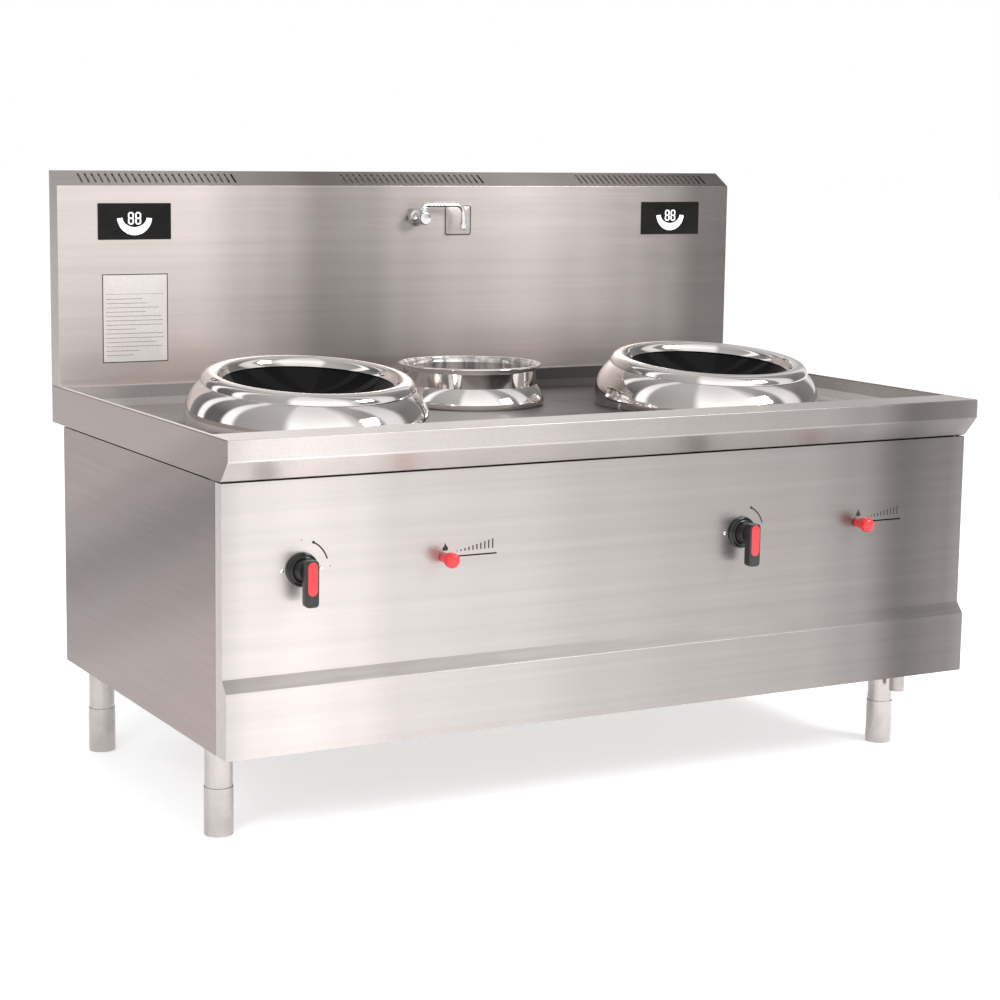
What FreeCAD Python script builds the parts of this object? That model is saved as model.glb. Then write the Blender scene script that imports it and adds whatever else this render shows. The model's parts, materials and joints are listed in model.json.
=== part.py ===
import FreeCAD, Part
import math
import os
import re
import Sketcher
from FreeCAD import Placement, Rotation, Vector

# Free-standing induction wok range: two tilted wok wells with black glass bowls,
# a lift-out soup pot between them, a backsplash with displays, vents and a water
# tap, and a cabinet on four legs. Millimetres, +Z up, the front faces -Y, and the
# origin lies on the floor under the middle of the overall outline.

os.makedirs("parts", exist_ok=True)
document = FreeCAD.newDocument("WokRange")
sheet = document.addObject("Spreadsheet::Sheet", "Sizes")

SIZES = {
    # Worktop with its folded front fascia and sunken tray
    "width": 1800.0,
    "depth": 1050.0,
    "top_height": 827.0,
    "top_sheet": 2.0,
    "skirt_height": 84.0,
    "fascia_height": 42.0,
    "skirt_return": 15.0,
    "front_ledge": 100.0,
    "side_ledge": 10.0,
    "rear_ledge": 8.0,
    "tray_wall": 30.0,
    "tray_bevel": 16.0,
    # Backsplash
    "splash_height": 483.0,
    "splash_depth": 56.0,
    "splash_fall": 32.5,
    "splash_sheet": 1.5,
    "splash_flange": 20.0,
    "vent_count": 24,
    "vent_pitch": 16.1,
    "vent_width": 5.0,
    "vent_length": 39.0,
    "vent_group_x": 652.0,
    "riser_slot_length": 320.0,
    "riser_slot_width": 28.0,
    # Cabinet
    "panel_setback": 37.0,
    "panel_sheet": 1.5,
    "panel_return": 31.5,
    "panel_flange": 20.0,
    "shadow_gap": 3.0,
    "seam_gap": 0.5,
    "side_inset": 1.5,
    "rear_overhang": 80.0,
    "body_bottom": 206.0,
    "kick_top": 361.0,
    "kick_bottom": 337.0,
    "kick_reach": 20.0,
    "frame_bottom": 220.0,
    "frame_tube": 30.0,
    "frame_wall": 2.0,
    "pan_edge": 15.0,
    "louvre_count": 10,
    "louvre_pitch": 22.0,
    "louvre_height": 7.0,
    "louvre_length": 260.0,
    "louvre_base": 300.0,
    # Legs and feet
    "leg_side_inset": 67.0,
    "leg_front_inset": 218.0,
    "leg_back_inset": 126.0,
    "leg_radius": 28.5,
    "leg_wall": 1.5,
    "leg_clearance": 0.3,
    "leg_plate": 90.0,
    "leg_plate_thickness": 4.0,
    "foot_radius": 30.0,
    "foot_height": 100.0,
    "foot_base": 20.0,
    "stud_radius": 8.0,
    "stud_top": 152.0,
    "nut_thickness": 12.0,
    "nut_gap": 2.0,
    "running_gap": 0.05,
    # Wok wells, measured in each well's own tilted frame from the seam upwards
    "wok_x": 512.5,
    "wok_inset": 494.0,
    "wok_rise": 42.5,
    "wok_tilt": 5.8,
    "collar_sheet": 2.0,
    "seam_radius": 228.0,
    "collar_radius": 262.0,
    "collar_bulge_drop": 80.0,
    "collar_belly": 1.0,
    "collar_foot_radius": 259.0,
    "collar_hole_radius": 247.0,
    "seat_outer_radius": 210.0,
    "seat_inner_radius": 197.0,
    "seat_drop": 8.0,
    "gasket_thickness": 3.0,
    "gasket_width": 8.0,
    "rim_overhang": 2.0,
    "rim_crest": 20.5,
    "rim_crest_radius": 201.0,
    "rim_sheet": 2.0,
    "glass_edge_radius": 184.0,
    "glass_thickness": 5.0,
    "glass_flange_radius": 206.0,
    "bowl_depth": 95.0,
    "coil_gap": 0.5,
    "coil_thickness": 8.0,
    "coil_inner_angle": 10.0,
    "coil_outer_angle": 42.0,
    "carrier_sheet": 3.0,
    "carrier_flange_radius": 206.0,
    # Soup pot
    "pot_inset": 721.0,
    "pot_rise": 49.5,
    "pot_band_radius": 155.0,
    "pot_band_height": 47.0,
    "pot_flare": 8.5,
    "pot_bead_radius": 3.0,
    "pot_well_radius": 142.0,
    "pot_depth": 200.0,
    "pot_corner": 28.0,
    "pot_sheet": 1.5,
    "pot_collar_radius": 174.0,
    "pot_collar_foot_radius": 167.0,
    "pot_seat_radius": 145.0,
    "pot_hole_radius": 157.0,
    # Rotary switches
    "control_height": 564.0,
    "left_switch_x": -733.0,
    "right_switch_x": 294.0,
    "switch_base_radius": 34.0,
    "switch_base_thickness": 12.0,
    "switch_screw_offset": 42.0,
    "lever_gap": 0.4,
    "lever_hub_radius": 22.0,
    "lever_hub_length": 21.0,
    "lever_width": 28.0,
    "lever_thickness": 20.0,
    "lever_above": 25.0,
    "lever_below": 66.5,
    "lever_round": 5.0,
    "insert_width": 20.0,
    "insert_length": 66.0,
    "insert_margin": 2.5,
    "insert_recess": 1.5,
    "insert_proud": 1.5,
    "spindle_radius": 4.0,
    "spindle_length": 46.0,
    "spindle_hole_radius": 6.0,
    "contacts_width": 48.0,
    "contacts_height": 52.0,
    "contacts_depth": 36.0,
    # Power sliders
    "left_slot_x": -429.0,
    "right_slot_x": 598.0,
    "slot_length": 126.0,
    "slot_height": 3.0,
    "blade_width": 8.0,
    "blade_thickness": 2.0,
    "blade_embed": 22.0,
    "knob_base_radius": 9.5,
    "knob_tip_radius": 16.0,
    "knob_length": 48.0,
    "knob_gap": 1.5,
    "carriage_width": 12.0,
    "carriage_height": 9.0,
    "carriage_depth": 8.0,
    "slide_clearance": 0.3,
    "housing_wall": 3.0,
    # Displays and plates on the backsplash
    "display_width": 174.0,
    "display_height": 82.0,
    "display_thickness": 2.0,
    "left_display_inset": 181.0,
    "right_display_inset": 176.0,
    "display_rise": 370.0,
    "module_width": 150.0,
    "module_height": 60.0,
    "module_depth": 22.0,
    "notice_width": 158.0,
    "notice_height": 202.0,
    "notice_inset": 181.0,
    "notice_rise": 151.0,
    "plate_thickness": 0.8,
    "badge_width": 73.0,
    "badge_height": 74.0,
    "badge_x": 109.5,
    "badge_rise": 368.0,
    # Water tap and its supply
    "tap_x": -4.0,
    "tap_rise": 374.0,
    "tap_flange_radius": 20.0,
    "tap_flange_thickness": 6.0,
    "tap_body_radius": 15.0,
    "tap_body_length": 52.0,
    "tap_bore_radius": 5.0,
    "tap_socket_depth": 12.0,
    "tap_shank_radius": 10.0,
    "spout_stand_off": 38.0,
    "spout_rise": 32.0,
    "spout_radius": 5.0,
    "spout_reach": 108.0,
    "spout_bend": 20.0,
    "spout_drop": 39.0,
    "nozzle_radius": 7.5,
    "nozzle_length": 20.0,
    "tap_lever_stand_off": 16.0,
    "tap_lever_hub_radius": 7.0,
    "tap_lever_hub_width": 10.0,
    "tap_lever_reach": 20.0,
    "tap_lever_rod_radius": 2.5,
    "tap_ball_radius": 6.5,
    "supply_radius": 8.0,
    "supply_wall": 1.5,
    "supply_end": 560.0,
    "supply_nipple_radius": 10.5,
    "supply_nipple_length": 18.0,
    "clip_height": 12.0,
    "clip_above_end": 60.0,
    # Waste pipe of the tray
    "drain_side_inset": 73.0,
    "drain_inset": 150.0,
    "drain_radius": 18.0,
    "drain_wall": 2.0,
    "drain_spigot_radius": 17.0,
    "drain_spigot_length": 60.0,
    "drain_end": 136.0,
    "drain_flange_radius": 26.0,
    "drain_flange_thickness": 2.0,
    # Induction generators and their fans
    "inverter_width": 300.0,
    "inverter_depth": 380.0,
    "inverter_height": 122.0,
    "inverter_inset": 260.0,
    "inverter_sheet": 1.5,
    "fan_size": 120.0,
    "fan_depth": 38.0,
    "fan_bore_radius": 57.0,
    "fan_motor_radius": 20.0,
    "fan_strut": 8.0,
    "fan_motor_depth": 12.0,
    "fan_pin_radius": 3.0,
    "rotor_hub_radius": 21.0,
    "rotor_depth": 20.0,
    "rotor_tip_gap": 2.0,
    "rotor_rear_gap": 0.3,
    "blade_count": 7,
    "blade_pitch": 38.0,
    "rotor_blade_thickness": 2.0,
    # Mains inlet and screws
    "gland_x": 640.0,
    "gland_height": 300.0,
    "gland_radius": 15.0,
    "gland_bore_radius": 9.0,
    "gland_outside": 24.0,
    "gland_inside": 14.0,
    "gland_nut_radius": 20.0,
    "gland_nut_thickness": 6.0,
    "screw_head_radius": 3.8,
    "screw_head_height": 2.4,
    "cover_screw_inset": 24.0,
}

# Places worked out from the sizes above, kept in the sheet as formulas.
DERIVED = {
    "lever_reach": "switch_base_thickness + lever_gap + lever_hub_length"
                   " + lever_thickness + insert_proud",
    "front_y": "(lever_reach - panel_setback) / 2 - depth / 2",
    "back_y": "front_y + depth",
    "panel_y": "front_y + panel_setback",
    "skirt_bottom": "top_height - skirt_height",
    "tray_floor": "top_height - tray_wall - tray_bevel",
    "tray_half": "width / 2 - side_ledge",
    "tray_front": "front_y + front_ledge",
    "splash_front": "back_y - splash_depth",
    "splash_middle": "back_y - splash_depth / 2",
    "tray_back": "splash_front - rear_ledge",
    "splash_top": "top_height + splash_height",
    "splash_brow": "splash_top - splash_fall",
    "splash_slope": "splash_fall / splash_depth",
    "slope_skin": "splash_sheet * sqrt(1 + splash_slope ^ 2)",
    "body_half": "width / 2 - side_inset",
    "panel_top": "skirt_bottom - shadow_gap",
    "return_y": "panel_y + panel_return",
    "cabinet_back": "back_y - rear_overhang",
    "frame_half": "body_half - panel_sheet - seam_gap",
    "frame_front": "return_y + panel_sheet + 2 * seam_gap",
    "frame_back": "cabinet_back - panel_sheet - seam_gap",
    "frame_top": "tray_floor - top_sheet",
    "pan_z": "frame_bottom + frame_tube",
    "leg_x": "width / 2 - leg_side_inset",
    "leg_front_y": "front_y + leg_front_inset",
    "leg_back_y": "back_y - leg_back_inset",
    "plate_z": "frame_bottom - leg_plate_thickness",
    "leg_bottom": "foot_base",
    "nut_z": "foot_height + nut_gap",
    "wok_y": "front_y + wok_inset",
    "seam_z": "top_height + wok_rise",
    "pot_y": "front_y + pot_inset",
    "pot_rim_z": "top_height + pot_rise",
    "pot_seat_z": "pot_rim_z - pot_band_height",
    "slider_start": "blade_width / 2 + slide_clearance",
    "left_display_x": "left_display_inset - width / 2",
    "right_display_x": "width / 2 - right_display_inset",
    "notice_x": "notice_inset - width / 2",
    "display_z": "top_height + display_rise",
    "tap_z": "top_height + tap_rise",
    "spout_y": "splash_front - spout_stand_off",
    "spout_z": "tap_z + spout_rise",
    "drain_x": "width / 2 - drain_side_inset",
    "drain_y": "front_y + drain_inset",
    "inverter_y": "front_y + inverter_inset",
    "inverter_z": "pan_z + panel_sheet",
    "fan_y": "inverter_y + inverter_depth",
    "fan_z": "inverter_z + inverter_height / 2",
}

SIDES = (("left", -1), ("right", 1))
WORD = re.compile(r"[a-z_][a-z_0-9]*")
LIP_LEAN = 0.65  # how far the rim's sheet reaches below its visible edge, in thicknesses
PLANES = {"X": Vector(1, 0, 0), "Y": Vector(0, 1, 0), "Z": Vector(0, 0, 1)}
subparts = {}


def fill_sheet():
    """Write every size and every worked-out place into the sheet with its alias."""
    rows = list(SIZES.items()) + [(name, "=" + text) for name, text in DERIVED.items()]
    for row, (name, value) in enumerate(rows, start=1):
        sheet.set(f"A{row}", name)
        sheet.set(f"B{row}", str(value))
        sheet.setAlias(f"B{row}", name)
    document.recompute()


def size(name):
    """The present value of one cell of the sheet."""
    return float(sheet.get(name))


def linked(formula):
    """A formula in which each size is named through the sheet."""
    def through_sheet(match):
        word = match.group()
        return "Sizes." + word if word in SIZES or word in DERIVED else word
    return WORD.sub(through_sheet, str(formula))


def bind(piece, formulas):
    for name, formula in formulas.items():
        piece.setExpression(name, linked(formula))


def place(piece, corner):
    bind(piece, {"Placement.Base." + axis: text for axis, text in zip("xyz", corner)})


def box(name, corner, extents):
    """A block from its low corner and its three lengths, all formulas."""
    piece = document.addObject("Part::Box", name)
    bind(piece, dict(zip(("Length", "Width", "Height"), extents)))
    place(piece, corner)
    return piece


def centred_box(name, centre, extents):
    corner = [f"({middle}) - ({length}) / 2" for middle, length in zip(centre, extents)]
    return box(name, corner, extents)


def cylinder(name, foot, axis, radius, length):
    """A round bar that starts at foot and runs along +X, +Y or +Z."""
    piece = document.addObject("Part::Cylinder", name)
    piece.Placement = Placement(Vector(), Rotation(PLANES["Z"], PLANES[axis]))
    bind(piece, {"Radius": radius, "Height": length})
    place(piece, foot)
    return piece


def join(name, pieces):
    piece = document.addObject("Part::MultiFuse", name)
    piece.Shapes = pieces
    return piece


def group(name, pieces):
    piece = document.addObject("Part::Compound", name)
    piece.Links = pieces
    return piece


def cut(name, base, tools):
    piece = document.addObject("Part::Cut", name)
    piece.Base = base
    piece.Tool = tools[0] if len(tools) == 1 else group(name + "_tools", tools)
    return piece


def solid(name, shape, placement=None):
    """A piece whose shape is worked out here from the sheet's sizes."""
    piece = document.addObject("Part::Feature", name)
    piece.Shape = shape
    if placement is not None:
        piece.Placement = placement
    return piece


def subpart(label, piece):
    piece.Label = label
    subparts[label] = piece


def sketch(body, name, role, outline):
    """A closed polygon on one of the body's own planes, each corner bound to the sheet."""
    plane = next(item for item in body.Origin.OriginFeatures if item.Role == role)
    drawing = body.newObject("Sketcher::SketchObject", name)
    drawing.AttachmentSupport = [(plane, "")]
    drawing.MapMode = "FlatFace"
    count = len(outline)
    for corner in range(count):
        angle = 2 * math.pi * corner / count
        after = 2 * math.pi * (corner + 1) / count
        start = Vector(math.cos(angle), math.sin(angle), 0)
        end = Vector(math.cos(after), math.sin(after), 0)
        drawing.addGeometry(Part.LineSegment(start, end), False)
    for corner in range(count):
        drawing.addConstraint(
            Sketcher.Constraint("Coincident", corner, 2, (corner + 1) % count, 1))
    for corner, position in enumerate(outline):
        for direction, formula in zip(("DistanceX", "DistanceY"), position):
            index = drawing.addConstraint(
                Sketcher.Constraint(direction, -1, 1, corner, 1, 1.0))
            drawing.setExpression(f"Constraints[{index}]", linked(formula))
    return drawing


def pad(body, role, outline, length, side="Symmetric"):
    feature = body.newObject("PartDesign::Pad", body.Name + "_pad")
    feature.Profile = sketch(body, body.Name + "_outline", role, outline)
    feature.SideType = side
    bind(feature, {"Length": length})
    return feature


def pocket(body, role, outline, length):
    feature = body.newObject("PartDesign::Pocket", body.Name + "_pocket")
    feature.Profile = sketch(body, body.Name + "_hollow", role, outline)
    feature.SideType = "Symmetric"
    bind(feature, {"Length": length})
    return feature


def outline(start, *steps):
    """A path of lines and arcs in the XZ plane; an arc is a pair: its middle, its end."""
    edges = []
    here = Vector(start[0], 0, start[1])
    for step in steps:
        if isinstance(step[0], tuple):
            middle = Vector(step[0][0], 0, step[0][1])
            there = Vector(step[1][0], 0, step[1][1])
            edges.append(Part.Arc(here, middle, there).toShape())
        else:
            there = Vector(step[0], 0, step[1])
            edges.append(Part.makeLine(here, there))
        here = there
    return Part.Wire(edges)


def turned(wire, axis=PLANES["Z"]):
    """A solid of revolution of a closed outline about the Z axis."""
    body = Part.Face(wire).revolve(Vector(), PLANES["Z"], 360)
    if axis != PLANES["Z"]:
        body.Placement = Placement(Vector(), Rotation(PLANES["Z"], axis))
    return body


def formed(wire, thickness):
    """A ring of sheet that follows an open outline, thickened to one side of it."""
    strip = wire.makeOffset2D(thickness, 2, True, True, False)
    return strip.revolve(Vector(), PLANES["Z"], 360)


def dish_point(radius, centre, angle):
    """The point of a dish's outline at an angle in degrees from its lowest point."""
    turn = math.radians(angle)
    return (radius * math.sin(turn), centre - radius * math.cos(turn))


def dish(edge_radius, edge_height, bottom):
    """Sphere radius and centre height of a dish through its edge and its lowest point."""
    rise = edge_height - bottom
    radius = (edge_radius ** 2 + rise ** 2) / (2 * rise)
    return radius, bottom + radius


# ---------------------------------------------------------------- worktop

def worktop():
    """Folded top with a bevelled fascia, cut out above the tray that is welded under it."""
    body = document.addObject("PartDesign::Body", "worktop_form")
    pad(body, "YZ_Plane", [
        ("front_y", "top_height"),
        ("front_y", "top_height - fascia_height"),
        ("panel_y", "skirt_bottom"),
        ("back_y", "skirt_bottom"),
        ("back_y", "top_height")], "width")
    pocket(body, "YZ_Plane", [
        ("front_y + top_sheet", "top_height - top_sheet"),
        ("front_y + top_sheet", "top_height - fascia_height"),
        ("panel_y + top_sheet", "skirt_bottom"),
        ("panel_y + top_sheet", "skirt_bottom - top_sheet"),
        ("back_y - top_sheet", "skirt_bottom - top_sheet"),
        ("back_y - top_sheet", "top_height - top_sheet")], "width - 2 * top_sheet")
    cut_out = box(
        "tray_cut_out",
        ("-tray_half", "tray_front", "top_height - 2 * top_sheet"),
        ("2 * tray_half", "tray_back - tray_front", "3 * top_sheet"))
    hem = box(
        "fascia_hem",
        ("top_sheet - width / 2", "panel_y", "skirt_bottom"),
        ("width - 2 * top_sheet", "skirt_return", "top_sheet"))
    tools = [riser_slot(side, sign) for side, sign in SIDES]
    tools.append(cut_out)
    tools.append(cylinder(
        "supply_hole", ("tap_x", "splash_middle", "top_height - 2 * top_sheet"), "Z",
        "supply_radius + slide_clearance", "3 * top_sheet"))
    subpart("worktop", cut("worktop_cut", join("worktop_joined", [body, hem]), tools))


def tray():
    """Sunken pan under the top, with holes for the wells, the pot and the waste pipe."""
    drain_hole = cylinder(
        "drain_hole", ("drain_x", "drain_y", "tray_floor - 2 * top_sheet"), "Z",
        "drain_radius + slide_clearance", "3 * top_sheet")
    subpart("tray", cut("tray_cut", solid("tray_pan", tray_pan()), [
        solid("well_holes", well_holes()), drain_hole]))


def bevelled_box(half, front, back, low, high, bevel):
    """A block whose four bottom edges are chamfered."""
    block = Part.makeBox(2 * half, back - front, high - low, Vector(-half, front, low))
    edges = [edge for edge in block.Edges if edge.BoundBox.ZMax < low + bevel / 2]
    return block.makeChamfer(bevel, edges)


def tray_pan():
    sheet_thickness = size("top_sheet")
    half = size("tray_half")
    front = size("tray_front")
    back = size("tray_back")
    floor = size("tray_floor")
    top = size("top_height") - sheet_thickness
    bevel = size("tray_bevel")
    outside = bevelled_box(
        half + sheet_thickness, front - sheet_thickness, back + sheet_thickness,
        floor - sheet_thickness, top, bevel)
    inside = bevelled_box(half, front, back, floor, top + sheet_thickness, bevel)
    return outside.cut(inside)


def well_holes():
    """Round holes of the tray floor under the two wok collars and the pot collar."""
    low = size("tray_floor") - 2 * size("top_sheet")
    deep = 3 * size("top_sheet")
    lean = (size("seam_z") - size("tray_floor")) * math.tan(math.radians(size("wok_tilt")))
    holes = [
        Part.makeCylinder(
            size("collar_hole_radius"), deep,
            Vector(sign * size("wok_x"), size("wok_y") + lean, low))
        for side, sign in SIDES]
    holes.append(Part.makeCylinder(
        size("pot_hole_radius"), deep, Vector(0, size("pot_y"), low)))
    return Part.makeCompound(holes)


def riser_slot(side, sign):
    """Slot of the top through which warm air rises into the backsplash."""
    return centred_box(
        side + "_riser_slot",
        (f"{sign} * vent_group_x", "splash_middle", "top_height"),
        ("riser_slot_length", "riser_slot_width", "4 * top_sheet"))


# ---------------------------------------------------------------- backsplash

def backsplash():
    """Hollow folded backsplash, closed at the rear by a flat cover."""
    body = document.addObject("PartDesign::Body", "splash_form")
    pad(body, "YZ_Plane", [
        ("splash_front", "top_height"),
        ("splash_front", "splash_brow"),
        ("back_y", "splash_top"),
        ("back_y", "top_height")], "width")
    pocket(body, "YZ_Plane", [
        ("splash_front + splash_sheet", "top_height - splash_sheet"),
        ("splash_front + splash_sheet",
         "splash_brow + splash_slope * splash_sheet - slope_skin"),
        ("back_y + splash_sheet",
         "splash_top + splash_slope * splash_sheet - slope_skin"),
        ("back_y + splash_sheet", "top_height - splash_sheet")],
        "width - 2 * splash_sheet")
    flange = box(
        "splash_flange_strip",
        ("splash_sheet - width / 2", "splash_front", "top_height"),
        ("width - 2 * splash_sheet", "splash_flange", "splash_sheet"))
    tools = [solid("vent_slots", vent_slots())]
    for side, _ in SIDES:
        tools.append(centred_box(
            side + "_display_cut_out",
            (f"{side}_display_x", "splash_front", "display_z"),
            ("module_width + 2 * seam_gap", "6 * splash_sheet",
             "module_height + 2 * seam_gap")))
    tools.append(cylinder(
        "tap_hole", ("tap_x", "splash_front - 2 * splash_sheet", "tap_z"), "Y",
        "tap_shank_radius + slide_clearance", "4 * splash_sheet"))
    for number, sign in enumerate((-1, 0, 1)):
        tools.append(centred_box(
            f"flange_gap_{number}",
            (f"{sign} * vent_group_x", "splash_middle", "top_height"),
            ("riser_slot_length", "riser_slot_width", "4 * splash_sheet")))
    whole = join("splash_joined", [body, flange])
    subpart("backsplash_shell", cut("splash_cut", whole, tools))
    subpart("backsplash_rear_cover", box(
        "splash_cover",
        ("splash_sheet + seam_gap - width / 2", "back_y - splash_sheet", "top_height"),
        ("width - 2 * splash_sheet - 2 * seam_gap", "splash_sheet",
         "splash_height - slope_skin - splash_slope * splash_sheet - seam_gap")))


def vent_slots():
    """Three groups of slots that run down the sloping brow of the backsplash."""
    count = int(size("vent_count"))
    slant = math.degrees(math.atan(size("splash_slope")))
    slot = Part.makeBox(
        size("vent_width"), size("vent_length"), 8 * size("splash_sheet"),
        Vector(-size("vent_width") / 2, -size("vent_length") / 2, -4 * size("splash_sheet")))
    middle_z = size("splash_top") - size("splash_fall") / 2
    slots = []
    for middle in (-size("vent_group_x"), 0, size("vent_group_x")):
        for number in range(count):
            offset = (number - (count - 1) / 2) * size("vent_pitch")
            copy = slot.copy()
            copy.Placement = Placement(
                Vector(middle + offset, size("splash_middle"), middle_z),
                Rotation(PLANES["X"], slant))
            slots.append(copy)
    return Part.makeCompound(slots)


# ---------------------------------------------------------------- cabinet

def front_panel():
    """Folded front with returns at both ends and a kick that steps forward."""
    body = document.addObject("PartDesign::Body", "front_form")
    pad(body, "YZ_Plane", [
        ("panel_y", "panel_top"),
        ("panel_y", "kick_top"),
        ("panel_y - kick_reach", "kick_bottom"),
        ("panel_y - kick_reach", "body_bottom"),
        ("return_y", "body_bottom"),
        ("return_y", "panel_top")], "2 * body_half")
    pocket(body, "YZ_Plane", [
        ("panel_y + panel_sheet", "panel_top + panel_sheet"),
        ("panel_y + panel_sheet", "kick_top"),
        ("panel_y - kick_reach + panel_sheet", "kick_bottom"),
        ("panel_y - kick_reach + panel_sheet", "body_bottom + panel_sheet"),
        ("return_y + panel_sheet", "body_bottom + panel_sheet"),
        ("return_y + panel_sheet", "panel_top + panel_sheet")],
        "2 * body_half - 2 * panel_sheet")
    tools = []
    for side, _ in SIDES:
        tools.append(cylinder(
            side + "_spindle_hole",
            (f"{side}_switch_x", "panel_y - panel_sheet", "control_height"), "Y",
            "spindle_hole_radius", "4 * panel_sheet"))
        tools.append(box(
            side + "_slider_slot",
            (f"{side}_slot_x", "panel_y - panel_sheet",
             "control_height - slot_height / 2"),
            ("slot_length", "4 * panel_sheet", "slot_height")))
    subpart("front_panel", cut("front_cut", body, tools))


def side_panel(side, sign):
    """C-shaped side sheet with short flanges at the front and the rear."""
    body = document.addObject("PartDesign::Body", side + "_form")
    outer = f"{sign} * body_half"
    inner = f"{sign} * (body_half - panel_sheet)"
    flange = f"{sign} * (body_half - panel_flange)"
    front = "return_y + seam_gap"
    pad(body, "XY_Plane", [
        (outer, front),
        (flange, front),
        (flange, front + " + panel_sheet"),
        (inner, front + " + panel_sheet"),
        (inner, "cabinet_back - panel_sheet"),
        (flange, "cabinet_back - panel_sheet"),
        (flange, "cabinet_back"),
        (outer, "cabinet_back")], "panel_top - body_bottom", "One side")
    bind(body, {"Placement.Base.z": "body_bottom"})
    subpart(side + "_side_panel", body)


def rear_panel():
    """Flat rear sheet with two fields of air slots and the cable entry."""
    plate = box(
        "rear_sheet", ("-body_half", "cabinet_back", "body_bottom"),
        ("2 * body_half", "panel_sheet", "panel_top - body_bottom"))
    entry = cylinder(
        "gland_hole", ("gland_x", "cabinet_back - panel_sheet", "gland_height"), "Y",
        "gland_radius + slide_clearance", "4 * panel_sheet")
    subpart("rear_panel", cut(
        "rear_cut", plate, [solid("louvres", louvres()), entry]))


def louvres():
    length = size("louvre_length")
    slots = []
    for _, sign in SIDES:
        for number in range(int(size("louvre_count"))):
            slots.append(Part.makeBox(
                length, 4 * size("panel_sheet"), size("louvre_height"),
                Vector(sign * size("vent_group_x") / 2 - length / 2,
                       size("cabinet_back") - size("panel_sheet"),
                       size("louvre_base") + number * size("louvre_pitch"))))
    return Part.makeCompound(slots)


def bottom_pan():
    """Shallow pan on the lower rails that carries the generators."""
    half = "(frame_half - frame_tube - seam_gap)"
    front = "(frame_front + frame_tube + seam_gap)"
    depth = f"(frame_back - frame_tube - seam_gap - {front})"
    outside = box(
        "pan_outside", ("-" + half, front, "pan_z"), ("2 * " + half, depth, "pan_edge"))
    inside = box(
        "pan_inside",
        (f"panel_sheet - {half}", f"{front} + panel_sheet", "pan_z + panel_sheet"),
        (f"2 * {half} - 2 * panel_sheet", f"{depth} - 2 * panel_sheet", "pan_edge"))
    opening = cylinder(
        "pan_drain_hole", ("drain_x", "drain_y", "pan_z - panel_sheet"), "Z",
        "drain_radius + slide_clearance", "4 * panel_sheet")
    subpart("bottom_pan", cut("pan_cut", outside, [inside, opening]))


def cabinet_frame():
    """Welded square tube: four posts, two rings of rails and the leg beams."""
    tube = size("frame_tube")
    half = size("frame_half")
    front = size("frame_front")
    back = size("frame_back") - tube
    low = size("frame_bottom")
    high = size("frame_top") - tube
    posts = [
        (x, y, low, tube, tube, high + tube - low)
        for x in (-half, half - tube) for y in (front, back)]
    rails = []
    for z in (low, high):
        rails += [(-half, y, z, 2 * half, tube, tube) for y in (front, back)]
        rails += [
            (x, front, z, tube, back + tube - front, tube) for x in (-half, half - tube)]
    beams = [
        (-half, size(name) - tube / 2, low, 2 * half, tube, tube)
        for name in ("leg_front_y", "leg_back_y")]
    bars = [bar_block(bar, 0) for bar in posts + rails + beams]
    whole = bars[0].multiFuse(bars[1:]).removeSplitter()
    wall = size("frame_wall")
    open_posts = [
        (x, y, z - 2 * wall, *across, height + 2 * wall) for x, y, z, *across, height in posts]
    bores = [bar_block(bar, wall) for bar in open_posts + rails + beams]
    bore = bores[0].multiFuse(bores[1:])
    subpart("cabinet_frame", solid("welded_frame", whole.cut(bore)))


def bar_block(bar, wall):
    """A straight bar from its low corner and lengths, drawn in by a wall all round."""
    x, y, z, x_length, y_length, z_length = bar
    return Part.makeBox(
        x_length - 2 * wall, y_length - 2 * wall, z_length - 2 * wall,
        Vector(x + wall, y + wall, z + wall))


# ---------------------------------------------------------------- legs

def leg_places():
    for side, sign in SIDES:
        for end in ("front", "back"):
            yield f"{end}_{side}", f"{sign} * leg_x", f"leg_{end}_y"


def leg(name, x, y):
    """Leg tube with a bolted plate at its top and a nut plate for the foot's stud."""
    plate = centred_box(
        name + "_plate", (x, y, "plate_z + leg_plate_thickness / 2"),
        ("leg_plate", "leg_plate", "leg_plate_thickness"))
    bar = cylinder(
        name + "_bar", (x, y, "leg_bottom"), "Z", "leg_radius", "plate_z - leg_bottom")
    bore = cylinder(
        name + "_bore", (x, y, "leg_bottom - leg_wall"), "Z",
        "leg_radius - leg_wall", "plate_z - leg_bottom + leg_wall")
    tube = cut(name + "_tube", join(name + "_blank", [plate, bar]), [bore])
    disc = cylinder(
        name + "_disc", (x, y, "nut_z"), "Z", "leg_radius - leg_wall / 2", "nut_thickness")
    thread = cylinder(
        name + "_thread", (x, y, "nut_z - leg_wall"), "Z",
        "stud_radius + running_gap", "nut_thickness + 2 * leg_wall")
    nut = cut(name + "_nut", disc, [thread])
    subpart(name + "_leg", join(name + "_welded", [tube, nut]))


def foot(name, x, y):
    """Levelling foot: a sleeve round the leg tube with a stud up its middle."""
    sleeve = cylinder(name + "_sleeve", (x, y, "0"), "Z", "foot_radius", "foot_height")
    bore = cylinder(
        name + "_sleeve_bore", (x, y, "foot_base"), "Z",
        "leg_radius + leg_clearance", "foot_height")
    stud = cylinder(
        name + "_stud", (x, y, "foot_base / 2"), "Z",
        "stud_radius", "stud_top - foot_base / 2")
    cup = cut(name + "_cup", sleeve, [bore])
    subpart(name + "_foot", join(name + "_foot_joined", [cup, stud]))


# ---------------------------------------------------------------- wok wells

def well_placement(sign):
    return Placement(
        Vector(sign * size("wok_x"), size("wok_y"), size("seam_z")),
        Rotation(PLANES["X"], size("wok_tilt")))


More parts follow.
